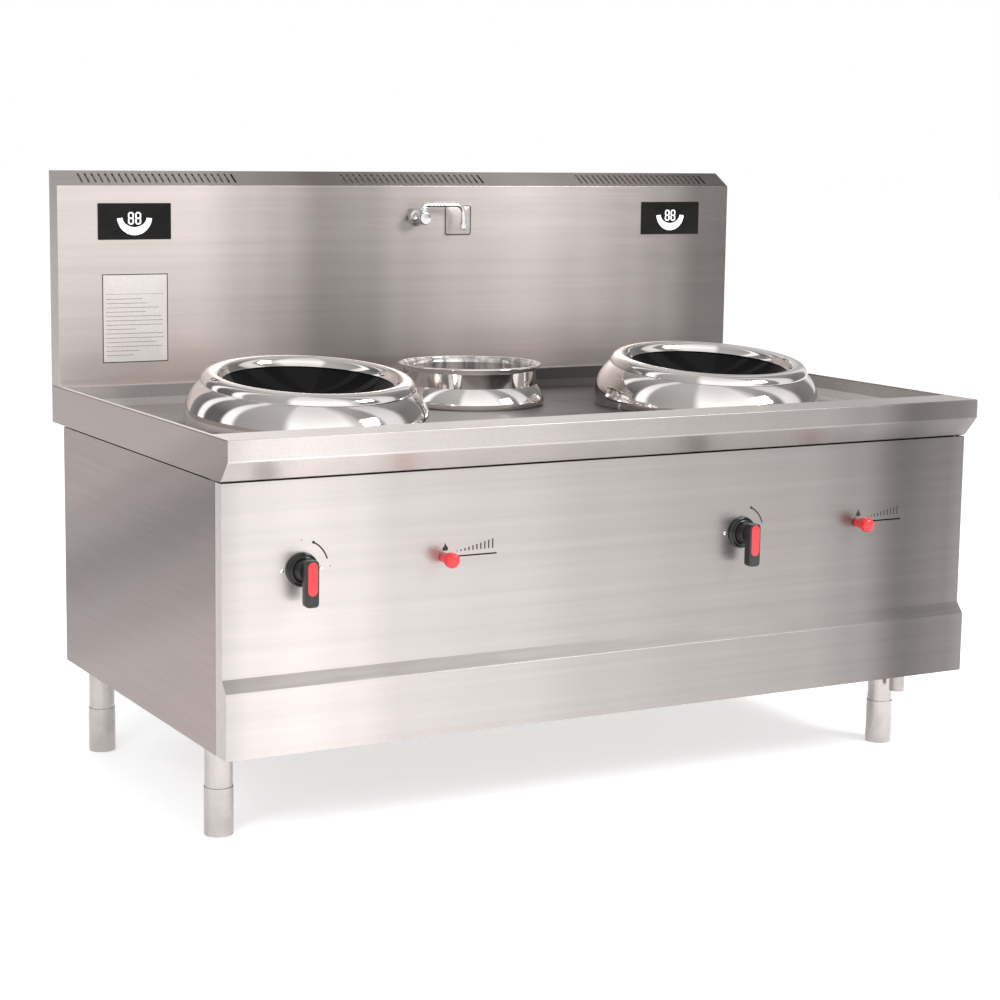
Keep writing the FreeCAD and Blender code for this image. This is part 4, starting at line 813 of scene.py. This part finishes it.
def pot_collar():
    """The pot's collar: a seat under the band, a swell and a tuck down to the tray."""
    seat = POT_HIGH.z - POT_BAND_HEIGHT
    rise = seat - TRAY_FLOOR
    swell = POT_COLLAR - POT_BAND
    tuck = POT_COLLAR - POT_COLLAR_FOOT
    line = outline(
        (POT_SEAT, seat), (POT_BAND, seat),
        ((POT_BAND + 0.62 * swell, seat - 0.34 * rise), (POT_COLLAR, seat - 0.72 * rise)),
        ((POT_COLLAR - 0.2 * tuck, seat - 0.86 * rise), (POT_COLLAR_FOOT, TRAY_FLOOR)))
    ring = moved(turned(walled(line, -COLLAR_SHEET), 192), POT_PLACE)
    steel_ring("pot_collar_ring", ring, "pot_collar")


# -------- legs

# the levelling foot's profile, in millimetres
SLEEVE_TOP = 100
SLEEVE_WALL = 1.2
SLEEVE_BASE = 20
STUD_RADIUS = 8


def levelling_foot(name):
    """A sleeve with a small round at its edges, a thick base and a stud up the leg."""
    middle, size, _, high = measured(name + "_foot")
    radius, top = size[0] / 2 / MM, high[2] / MM
    bore = radius - SLEEVE_WALL
    profile = rounded_profile([
        (0, 0), (radius, 0), (radius, SLEEVE_TOP), (bore, SLEEVE_TOP), (bore, SLEEVE_BASE),
        (STUD_RADIUS, SLEEVE_BASE), (STUD_RADIUS, top), (0, top)], 1.0)
    part = moved(turned(profile, 96), (middle[0], middle[1], 0))
    piece(name + "_sleeve", [part], "leg", name + "_foot_body",
          (name + "_foot",))


# -------- controls

PANEL_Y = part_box("left_switch_base")[1].y
BASE_RADIUS = 34 * MM
BASE_BORE = 4.05 * MM
BASE_THICK = 12 * MM
LEVER_GAP = 0.4 * MM
LEVER_WIDTH = 28 * MM
LEVER_ABOVE = 25 * MM
LEVER_BELOW = 66.5 * MM
LEVER_THICK = 20 * MM
LEVER_STAND = 21 * MM
INSERT_WIDTH = 20 * MM
INSERT_LENGTH = 66 * MM
INSERT_TOP = 22.5 * MM
INSERT_PROUD = 1.5 * MM
SPINDLE_RADIUS = 4 * MM
SPINDLE_LENGTH = 46 * MM
# the hub's profile, in millimetres
HUB_LENGTH = 15.12
HUB_RADIUS = 22
HUB_TIP = 18.04


def rectangle(width, height, corner, steps=6):
    """An upright rectangle round the origin with round corners."""
    half = np.array([(1, -1), (1, 1), (-1, 1), (-1, -1)]) * (width / 2, height / 2)
    return softened(half, corner, steps)


def stadium(width, length, steps=14):
    """An upright slot shape round the origin: two half circles and straight sides."""
    radius = width / 2
    cap = on_circle(np.linspace(0, math.pi, steps)) * radius
    straight = length / 2 - radius
    return np.concatenate([cap + (0, straight), -cap - (0, straight)])


def rounded_stations(front, back, radius, steps=5):
    """Depths and insets of a block whose front and back edges are quarter rounds."""
    angle = np.linspace(0, math.pi / 2, steps)
    inset = radius * (1 - np.sin(angle))
    into = radius * (1 - np.cos(angle))
    first = list(zip(front + into, inset))
    last = list(zip(back - into[::-1], inset[::-1]))
    return first + last


def switch(side):
    """A stepped round escutcheon, and a hanging lever bar on a hub with its red insert."""
    x, _, z = joints[side + "_switch_turn"]["pos_m"]
    place = (x, PANEL_Y, z)
    radius, thick = BASE_RADIUS, BASE_THICK
    ring = outline(
        (BASE_BORE, 0), (radius, 0), (radius, 0.35 * thick),
        ((radius - 0.9 * MM, 0.58 * thick), (radius - 3.2 * MM, 0.7 * thick)),
        (radius - 4.4 * MM, 0.62 * thick), (radius - 6 * MM, 0.66 * thick),
        ((radius - 7.2 * MM, 0.93 * thick), (radius - 10 * MM, thick)),
        (BASE_BORE, thick))
    piece(side + "_escutcheon", [moved(turned(ring, 128), place, turn_to(-Y))], "base",
          replaces=(side + "_switch_base",), sharp=28)

    body = side + "_lever_body"
    back = -BASE_THICK - LEVER_GAP
    front = back - LEVER_STAND - LEVER_THICK
    height = LEVER_ABOVE + LEVER_BELOW
    shape = rectangle(LEVER_WIDTH, height, 9 * MM) + (0, (LEVER_ABOVE - LEVER_BELOW) / 2)
    bar = lofted(shape, rounded_stations(front, front + LEVER_THICK, 2.2 * MM))
    neck = rectangle(LEVER_WIDTH * 0.96, 40 * MM, 12 * MM) + (0, -1 * MM)
    neck_bar = lofted(neck, [
        (front + LEVER_THICK * 0.5, 0), (back - 6 * MM, 0.5 * MM), (back - 1.5 * MM, 0),
        (back, 1.5 * MM)])
    hub = rounded_profile([
        (0, 0), (HUB_RADIUS, 0), (HUB_TIP, HUB_LENGTH), (0, HUB_LENGTH)], 2)
    spindle = np.array([
        (0, -SPINDLE_LENGTH), (SPINDLE_RADIUS, -SPINDLE_LENGTH), (SPINDLE_RADIUS, 0), (0, 0)])
    behind = (x, PANEL_Y + back, z)
    parts = [moved(bar, place), moved(neck_bar, place),
             moved(turned(hub, 96), behind, turn_to(-Y)),
             moved(turned(spindle, 40), behind, turn_to(-Y))]
    piece(side + "_pendant_lever", parts, "lever", body,
          (side + "_switch_lever",), outward=True)

    shape = stadium(INSERT_WIDTH, INSERT_LENGTH) + (0, INSERT_TOP - INSERT_LENGTH / 2)
    stations = rounded_stations(front - INSERT_PROUD, front + INSERT_PROUD, 0.9 * MM)
    piece(side + "_red_strip", [moved(lofted(shape, stations), place)], "red",
          body, (side + "_lever_insert",), outward=True)


KNOB_LENGTH = 48 * MM
KNOB_BASE = 9.5 * MM
KNOB_TIP = 16 * MM
KNOB_GAP = 1.5 * MM


def slider(side):
    """Red knob: a narrow foot, a flare, a domed end with a faint step."""
    middle = measured(side + "_slider_knob")[0]
    place = (middle[0], PANEL_Y - KNOB_GAP, middle[2])
    length, foot, tip = KNOB_LENGTH, KNOB_BASE, KNOB_TIP
    profile = outline(
        (0, 0), (foot - MM, 0), ((foot - 0.3 * MM, 0.3 * MM), (foot, MM)),
        ((foot + 0.6 * MM, 0.22 * length), (0.82 * tip, 0.46 * length)),
        (0.97 * tip, 0.66 * length),
        ((tip, 0.73 * length), (0.97 * tip, 0.8 * length)),
        ((0.8 * tip, 0.93 * length), (0.45 * tip, 0.985 * length)), (0, length))
    piece(side + "_knob", [moved(turned(profile, 96), place, turn_to(-Y))], "red",
          side + "_slider_body", (side + "_slider_knob",))


# -------- print on the front

PRINT = 0.12 * MM
BAR_COUNT = 10
BAR_STEP = 9 * MM
BAR_WIDTH = 3 * MM
BARS_START = 31 * MM
BAR_CORNER = 0.3 * MM
BAR_TALL, BAR_GROWTH = 1.6 * MM, 1.95 * MM
BAR_FOOT, BAR_CLIMB = 9.5 * MM, 0.15 * MM
FLAME_PLACE = (4 * MM, 13 * MM)
FLAME_TONGUES = ((-3.4, -0.8, 9.5, 4.2), (0.2, 0.6, 16.0, 5.6), (3.8, 0.9, 10.5, 4.0))
SWEEP_RADIUS = 57 * MM
SWEEP_WIDTH = 3.2 * MM
SWEEP_ANGLES = np.radians(np.linspace(64, 17, 24))
POSITION_DOTS = ((0, 58 * MM), (61 * MM, 2 * MM))


def flat(shape, y, offset=(0, 0), thick=PRINT):
    """A thin printed shape that stands on a plane facing the front."""
    return lofted(shape + np.asarray(offset), [(y - thick, 0), (y, 0)])


def stroke(line, width):
    """The outline of a pen stroke of one width along a line of points."""
    side = left_of(np.gradient(line, axis=0)) * width / 2
    return line + side, line - side


def band(upper, lower, y, thick=PRINT):
    """A thin strip between two lines of points, closed all round."""
    loop = np.stack([upper, upper, lower, lower])
    depth = np.array([y, y - thick, y - thick, y])[:, None]
    points = np.stack(
        [loop[..., 0], np.broadcast_to(depth, loop.shape[:2]), loop[..., 1]], axis=-1)
    first, last = (end * 0 + end.mean(0) for end in (points[:, :1], points[:, -1:]))
    return grid(np.concatenate([first, points, last], axis=1), wrap_rows=True)


def flame():
    """Tongues of a small flame, each a waved line that bulges and runs out to a point."""
    share = np.linspace(0, 1, 9)
    tongues = []
    for middle, lean, tall, wide in FLAME_TONGUES:
        spine = np.stack([middle + lean * np.sin(share * 4.4), share * tall], axis=1) * MM
        half = wide / 2 * np.sin(math.pi * np.clip(0.28 + 0.72 * share, 0, 1)) ** 0.8 * MM
        side = np.stack([half, half * 0], axis=1)
        tongues.append((spine - side, spine + side))
    return tongues


def front_print(side):
    """Rising bars and a flame over the slider, and the lever's arc with its dots."""
    lever_x, _, z = joints[side + "_switch_turn"]["pos_m"]
    start = measured(side + "_slider_knob")[0][0]
    parts = []
    for number in range(BAR_COUNT):
        tall = BAR_TALL + BAR_GROWTH * number
        foot = BAR_FOOT + BAR_CLIMB * number
        bar = rectangle(BAR_WIDTH, tall, BAR_CORNER, 2)
        x = start + BARS_START + number * BAR_STEP
        parts.append(flat(bar, PANEL_Y, (x, z + foot + tall / 2)))
    base = np.array((start, z)) + FLAME_PLACE
    parts += [band(left + base, right + base, PANEL_Y) for left, right in flame()]
    sweep = on_circle(SWEEP_ANGLES) * SWEEP_RADIUS + (lever_x, z)
    parts.append(band(*stroke(sweep, SWEEP_WIDTH), PANEL_Y))
    parts.append(flat(stadium(6 * MM, 6.1 * MM), PANEL_Y, sweep[0]))
    piece(side + "_front_marks", parts, "ink", outward=True)
    dots = [flat(stadium(3 * MM, 3.1 * MM), PANEL_Y, (lever_x + across, z + up))
            for across, up in POSITION_DOTS]
    piece(side + "_position_dots", dots, "pale_ink", outward=True)


# -------- displays and plates

DIGIT_HEIGHT = 28 * MM
DIGIT_WIDTH = 14 * MM
DIGIT_STROKE = 3.4 * MM
DIGIT_GAP = 0.25 * MM
DIGIT_APART = 8.6 * MM
LIT_THICK = 0.2 * MM
READING_PLACE = (-0.5 * MM, 7 * MM)
CELL_COUNT = 10
CELL_START, CELL_SWEEP, CELL_GAP = 184, 172, 0.6
CELLS_ABOVE = (0, 3 * MM)
CELLS_OUTER = (41.5 * MM, 41 * MM)
CELLS_INNER = (29 * MM, 23 * MM)


def digit_eight(x, z, y):
    """Seven lit bars of a digit, with their ends cut to points."""
    half_width = (DIGIT_WIDTH - DIGIT_STROKE) / 2
    half_height = (DIGIT_HEIGHT - DIGIT_STROKE) / 2
    bars = [(0, sign * half_height, "level") for sign in (-1, 0, 1)]
    bars += [(side * half_width, sign * half_height / 2, "upright")
             for side in (-1, 1) for sign in (-1, 1)]
    parts = []
    for bar_x, bar_z, lie in bars:
        reach = half_width if lie == "level" else half_height / 2
        reach -= DIGIT_GAP
        half = DIGIT_STROKE / 2
        tip = np.array([
            (reach, 0), (reach - half, half), (half - reach, half), (-reach, 0),
            (half - reach, -half), (reach - half, -half)])
        shape = tip if lie == "level" else tip[:, ::-1] * (-1, 1)
        parts.append(flat(shape, y, (x + bar_x, z + bar_z), LIT_THICK))
    return parts


def slab(name, node, corner, edge, finish):
    """A flat plate with round corners and rounded edges; gives its middle, size and face."""
    middle, size, low, high = measured(node)
    middle, size = middle[[0, 2]], size[[0, 2]]
    shape = rectangle(*size, corner) + middle
    part = lofted(shape, rounded_stations(low[1], high[1], edge))
    piece(name, [part], finish, replaces=(node,), outward=True)
    return middle, size, low[1]


def display(side):
    """A dark pane with two lit digits and, below them, a dish-shaped arc of cells."""
    middle, _, face = slab(side + "_display_pane", side + "_display_window", 2 * MM,
                           0.6 * MM, "window")
    x, z = middle + READING_PLACE
    parts = []
    for sign in (-1, 1):
        parts += digit_eight(x + sign * DIGIT_APART, z, face)
    for number in range(CELL_COUNT):
        start, end = (CELL_START + CELL_SWEEP * (number + step) / CELL_COUNT for step in (0, 1))
        ring = on_circle(np.radians(np.linspace(start + CELL_GAP, end - CELL_GAP, 6)))
        centre = np.array((x, z)) + CELLS_ABOVE
        parts.append(
            band(ring * CELLS_OUTER + centre, ring * CELLS_INNER + centre, face, LIT_THICK))
    piece(side + "_lit_reading", parts, "lit", outward=True)


PLATE_EDGE = 0.25 * MM
BADGE_CORNER = 7 * MM
RULE_SHARES = (0.55, 0.62, 0.8, 0.6, 0.84, 0.86, 0.86, 0.45, 0.86, 0.87, 0.76, 0.85, 0.5, 0.42)
RULE_STEP = 9.8 * MM
RULE_HEIGHT = 1.5 * MM
RULES_LEFT = 9 * MM
RULES_BELOW = 57 * MM
HEADER_ABOVE = 11 * MM
HEADER_HEIGHT = 0.9 * MM


def notice():
    """The notice plate: a printed border, a header line and ruled lines of uneven length."""
    middle, size, face = slab(
        "notice_ground", "notice_plate", 1.5 * MM, PLATE_EDGE, "plate")
    border = printed_frame(middle, size - 1 * MM, 2.2 * MM, face, 1 * MM)
    piece("notice_border", border, "ink", outward=True)
    left = middle[0] - size[0] / 2 + RULES_LEFT
    top = middle[1] + size[1] / 2 - RULES_BELOW
    header = rectangle(size[0] * 0.9, HEADER_HEIGHT, 0.2 * MM, 2)
    lines = [flat(header, face, (middle[0], top + HEADER_ABOVE))]
    for row, share in enumerate(RULE_SHARES):
        length = share * size[0]
        lines.append(flat(rectangle(length, RULE_HEIGHT, 0.3 * MM, 2), face,
                          (left + length / 2, top - row * RULE_STEP)))
    piece("notice_rules", lines, "pale_ink", outward=True)


def badge():
    """The bare square badge with its printed outline."""
    middle, size, face = slab(
        "badge_ground", "badge_plate", BADGE_CORNER, PLATE_EDGE, "splash")
    border = printed_frame(middle, size - 2 * MM, 2.6 * MM, face, BADGE_CORNER)
    piece("badge_outline", border, "ink", outward=True)


def printed_frame(middle, size, width, y, corner):
    """A printed line round a rectangle with round corners."""
    outer = rectangle(*size, corner) + middle
    inner = rectangle(*(size - 2 * width), max(corner - width, 0.3 * MM)) + middle
    outer, inner = (np.concatenate([line, line[:1]]) for line in (outer, inner))
    return [band(outer, inner, y)]


# -------- water tap

SPOUT_REACH = 108 * MM
SPOUT_RADIUS = 5 * MM


def tap_valve(x, y, z, lever_y):
    """Barrel on its wall flange, the spout's socket, the shank in the wall, the lever's boss."""
    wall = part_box("backsplash_shell")[0].y
    barrel = rounded_profile([
        (0, 0), (20, 0), (20, 3), (17, 6), (15, 6.5), (15, 47), (13.5, 52), (0, 52)], 0.9)
    socket = rounded_profile([
        (0, 0), (10, 0), (10, 18.5), (8.6, 20), (5.06, 20), (5.06, 8), (0, 8)], 0.5)
    shank = MM * np.array([(0, 0), (10, 0), (10, 20), (0, 20)])
    boss = MM * np.array([(0, 0), (2.5, 0), (2.5, 4), (0, 4)])
    parts = [
        moved(turned(barrel, 96), (x, wall, z), turn_to(-Y)),
        moved(turned(socket, 64), (x, y, z)),
        moved(turned(shank, 64), (x, wall, z), turn_to(Y)),
        moved(turned(boss, 32), (x - 14 * MM, lever_y, z), turn_to(-X))]
    piece("tap_valve", parts, "chrome", replaces=("tap_body",))


def tap_spout(x, y, z):
    """The bent pipe, the hexagonal nut at its foot and the nozzle at its end."""
    top = z + 32 * MM
    end = x + SPOUT_REACH
    line = outline(
        (x, z + 9 * MM), (x, z + 12 * MM), (x, z + 18 * MM), (x, top - 6 * MM),
        ((x + 1.8 * MM, top - 1.8 * MM), (x + 6 * MM, top)),
        (x + 0.3 * SPOUT_REACH, top), (x + 0.6 * SPOUT_REACH, top), (end - 20 * MM, top),
        ((end - 5.9 * MM, top - 5.9 * MM), (end, top - 20 * MM)), (end, top - 40 * MM))
    path = np.stack([line[:, 0], np.full(len(line), y), line[:, 1]], axis=1)
    nut = rounded_profile([(0, 0), (8.4, 0), (8.4, 6), (6.4, 7.2), (0, 7.2)], 0.6)
    nozzle = rounded_profile([
        (0, 0), (6.4, 0), (7.5, 2), (7.5, 17), (6, 20), (0, 20)], 0.8)
    parts = [
        tube(path, SPOUT_RADIUS, 32), moved(turned(nut, 6), (x, y, z + 20.3 * MM)),
        moved(turned(nozzle, 64), (end, y, top - 59 * MM))]
    piece("tap_spout_pipe", parts, "chrome", "spout_body", ("tap_spout",),
          outward=True)


def tap_lever(y, z):
    """The hub at the barrel's side, a waisted rod and the ball at its end."""
    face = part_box("tap_lever")[1].x
    middle = face - 6.8 * MM
    hub = rounded_profile([(0, 0), (7, 0), (7, 10), (0, 10)], 1.2)
    rod = outline((0, 0), (2.6, 0), (2.1, 10), (2.5, 16), (0, 16)) * MM
    ball = outline((0, -6.5), ((6.5, 0), (0, 6.5))) * MM
    parts = [
        moved(turned(hub, 64), (face - 10 * MM, y, z), turn_to(X)),
        moved(turned(rod, 32), (middle, y, z), turn_to(-Y)),
        moved(turned(ball, 48), (middle, y - 20 * MM, z), turn_to(-Y))]
    piece("tap_ball_lever", parts, "chrome", "tap_lever_body",
          ("tap_lever",), outward=True)


def tap():
    """The water tap, at the places of the CAD model's two joints."""
    x, y, z = joints["spout_swing"]["pos_m"]
    lever_y = joints["tap_lever_turn"]["pos_m"][1]
    tap_valve(x, y, z, lever_y)
    tap_spout(x, y, z)
    tap_lever(lever_y, z)


# -------- screws

HEAD_RADIUS = 3.8 * MM
HEAD_HEIGHT = 2.4 * MM
SCREW_REACH = 20 * MM


def screw_head():
    """A pan head with a cross recess: height falls off to the rim and inside the cross."""
    ring = np.linspace(0, 1, 11)[:, None]
    angle = full_turn(32)[None]
    x = ring * np.cos(angle)
    y = ring * np.sin(angle)
    dome = np.sqrt(np.clip(1 - (0.93 * ring) ** 4, 0, 1)) + 0 * angle
    arms = np.minimum(np.abs(x), np.abs(y)) < 0.17
    cross = arms & (np.maximum(np.abs(x), np.abs(y)) < 0.58)
    height = HEAD_HEIGHT * (0.3 + 0.7 * dome) - cross * 1.1 * MM
    top = np.stack([x * HEAD_RADIUS, y * HEAD_RADIUS, height], axis=-1)
    foot = top[-1:] * (1, 1, 0)
    middle = foot * 0
    return grid(np.concatenate([middle, foot, top[::-1]]), wrap_columns=True)


def screws():
    """One head for each screw of the node, whose corners all lie within SCREW_REACH."""
    mesh = nodes["panel_screws"].data
    corners = np.empty(3 * len(mesh.vertices))
    mesh.vertices.foreach_get("co", corners)
    corners = corners.reshape(-1, 3)
    places = []
    while len(corners):
        near = np.linalg.norm(corners - corners[0], axis=1) < SCREW_REACH
        low, high = corners[near].min(0), corners[near].max(0)
        corners = corners[~near]
        front = high[1] < 0
        x, _, z = (low + high) / 2
        places.append((x, z, high[1] if front else low[1], front))
    parts = [
        moved(screw_head(), (x, y, z), turn_to(-Y if front else Y))
        for x, z, y, front in sorted(places)]
    piece("screw_heads", parts, "chrome", replaces=("panel_screws",),
          outward=True)


# -------- pieces that stay as in CAD

PLAIN_NODES = {
    "tray": ["tray"],
    "plain": ["backsplash_rear_cover", "rear_panel", "bottom_pan", "water_supply_pipe",
              "drain_pipe"],
    "leg": [f"{end}_{side}_leg" for end in ENDS for side in SIDES],
    "lever": ["switch_contact_blocks", "slider_housings"]
             + [side + "_slider_carriage" for side in SIDES],
    "copper": [side + "_induction_coil" for side in SIDES],
    "case": [side + "_inverter_case" for side in SIDES],
    "fan": [side + kind for side in SIDES for kind in ("_fan_frame", "_fan_rotor")],
    "rubber": ["bowl_gaskets"],
    "carrier": ["coil_carriers"],
    "board": ["display_modules"],
    "frame": ["cabinet_frame"],
    "gland": ["cable_gland"],
}


def finish_nodes():
    """The CAD nodes that are shown as they are get their finishes."""
    for finish, names in PLAIN_NODES.items():
        for name in names:
            materials = nodes[name].data.materials
            materials.clear()
            materials.append(FINISHES[finish])


# -------- studio

FLOOR_RINGS = (0.0, 2.0, 6.0, 20.0, 60.0)


def floor():
    """A wide pale disc under the range."""
    ring = np.array(FLOOR_RINGS)[:, None]
    angle = full_turn(64)[None]
    points = np.stack([ring * np.cos(angle), ring * np.sin(angle), ring * 0 * angle], axis=-1)
    mesh = bpy.data.meshes.new("pale_floor")
    corners, quads = grid(points[::-1], wrap_columns=True)
    mesh.from_pydata(corners.tolist(), [], quads.tolist())
    item = bpy.data.objects.new("pale_floor", mesh)
    bpy.context.scene.collection.objects.link(item)
    paint = Paint("floor_white")
    cloud = paint.noise(0.3)
    colour = paint.mixed(rgb(0.80, 0.80, 0.80), rgb(0.86, 0.86, 0.86), cloud)
    mesh.materials.append(paint.surface(
        Base_Color=colour, Roughness=0.9, Emission_Color=rgb(1.0, 1.0, 1.0),
        Emission_Strength=0.5))


def soft_box(name, place, target, size, power, in_gloss=True):
    """A rectangular lamp that looks at a target."""
    data = bpy.data.lights.new(name, "AREA")
    data.shape = "RECTANGLE"
    data.size, data.size_y = size
    data.energy = power
    lamp = bpy.data.objects.new(name, data)
    aim = (Vector(target) - Vector(place)).to_track_quat("-Z", "Y")
    lamp.matrix_world = Matrix.Translation(place) @ aim.to_matrix().to_4x4()
    lamp.visible_glossy = in_gloss
    bpy.context.scene.collection.objects.link(lamp)


STUDIO_FRONT = (-0.468, -0.884, 0.0)
STUDIO_RIGHT = (0.884, -0.468, 0.0)
STUDIO_ROUND = (
    (-180, 0.70), (-156, 0.90), (-142, 0.30), (-120, 0.20), (-116, 1.3), (-110, 1.3),
    (-106, 0.15), (-84, 0.15), (-80, 1.4), (-72, 1.4), (-66, 0.40), (-20, 0.50),
    (-10, 1.30), (44, 1.30), (56, 0.70), (62, 0.30), (80, 0.25), (87, 1.0), (103, 0.9),
    (112, 0.20), (142, 0.25), (152, 0.90), (166, 0.50), (180, 0.70))


def studio():
    """Soft boxes, and a sky that is white to the eye and banded in what it lends to steel.

    The bands go round the room by the angle from its front, and grow even overhead.
    """
    floor()
    soft_box("key_box", (2.6, -3.6, 3.2), (0, 0, 0.6), (1.4, 1.4), 150)
    soft_box("left_box", (-3.6, -2.6, 2.4), (0, 0, 0.7), (1.8, 2.2), 60, False)
    soft_box("top_box", (0.3, -0.3, 3.6), (0, 0, 0.8), (2.6, 1.6), 60, False)
    world = bpy.data.worlds.new("studio_sky")
    bpy.context.scene.world = world
    world.use_nodes = True
    world.node_tree.nodes.clear()
    sky = Paint.__new__(Paint)
    sky.tree = world.node_tree
    sky.place = sky.node("TexCoord", output="Generated")
    angle = sky.maths("ARCTAN2", sky.along(STUDIO_RIGHT), sky.along(STUDIO_FRONT))
    stops = [(degrees / 360 + 0.5, (light,) * 3) for degrees, light in STUDIO_ROUND]
    bands = sky.node("ValToRGB", {"stops": stops}, {
        "Fac": sky.spread(angle, -math.pi, math.pi)})
    overhead = sky.spread(sky.along((0.0, 0.0, 1.0)), 0.45, 0.95, 0.0, 0.6)
    lent = sky.mixed(bands, rgb(0.6, 0.6, 0.6), overhead)
    seen = sky.node("LightPath", output="Is Camera Ray")
    colour = sky.mixed(lent, rgb(1.0, 1.0, 1.0), seen)
    background = sky.node("Background", {}, {"Color": colour, "Strength": 1.0})
    sky.node("OutputWorld", {}, {"Surface": background})
    bpy.context.scene.view_settings.view_transform = "Standard"


# -------- build

set_camera()
sheets()
for make in (wok_collar, wok_rim, glass_bowl, switch, slider, front_print, display):
    for well_side in SIDES:
        make(well_side)
soup_pot()
pot_collar()
for leg_end in ENDS:
    for leg_side in SIDES:
        levelling_foot(f"{leg_end}_{leg_side}")
notice()
badge()
tap()
screws()
finish_nodes()
studio()
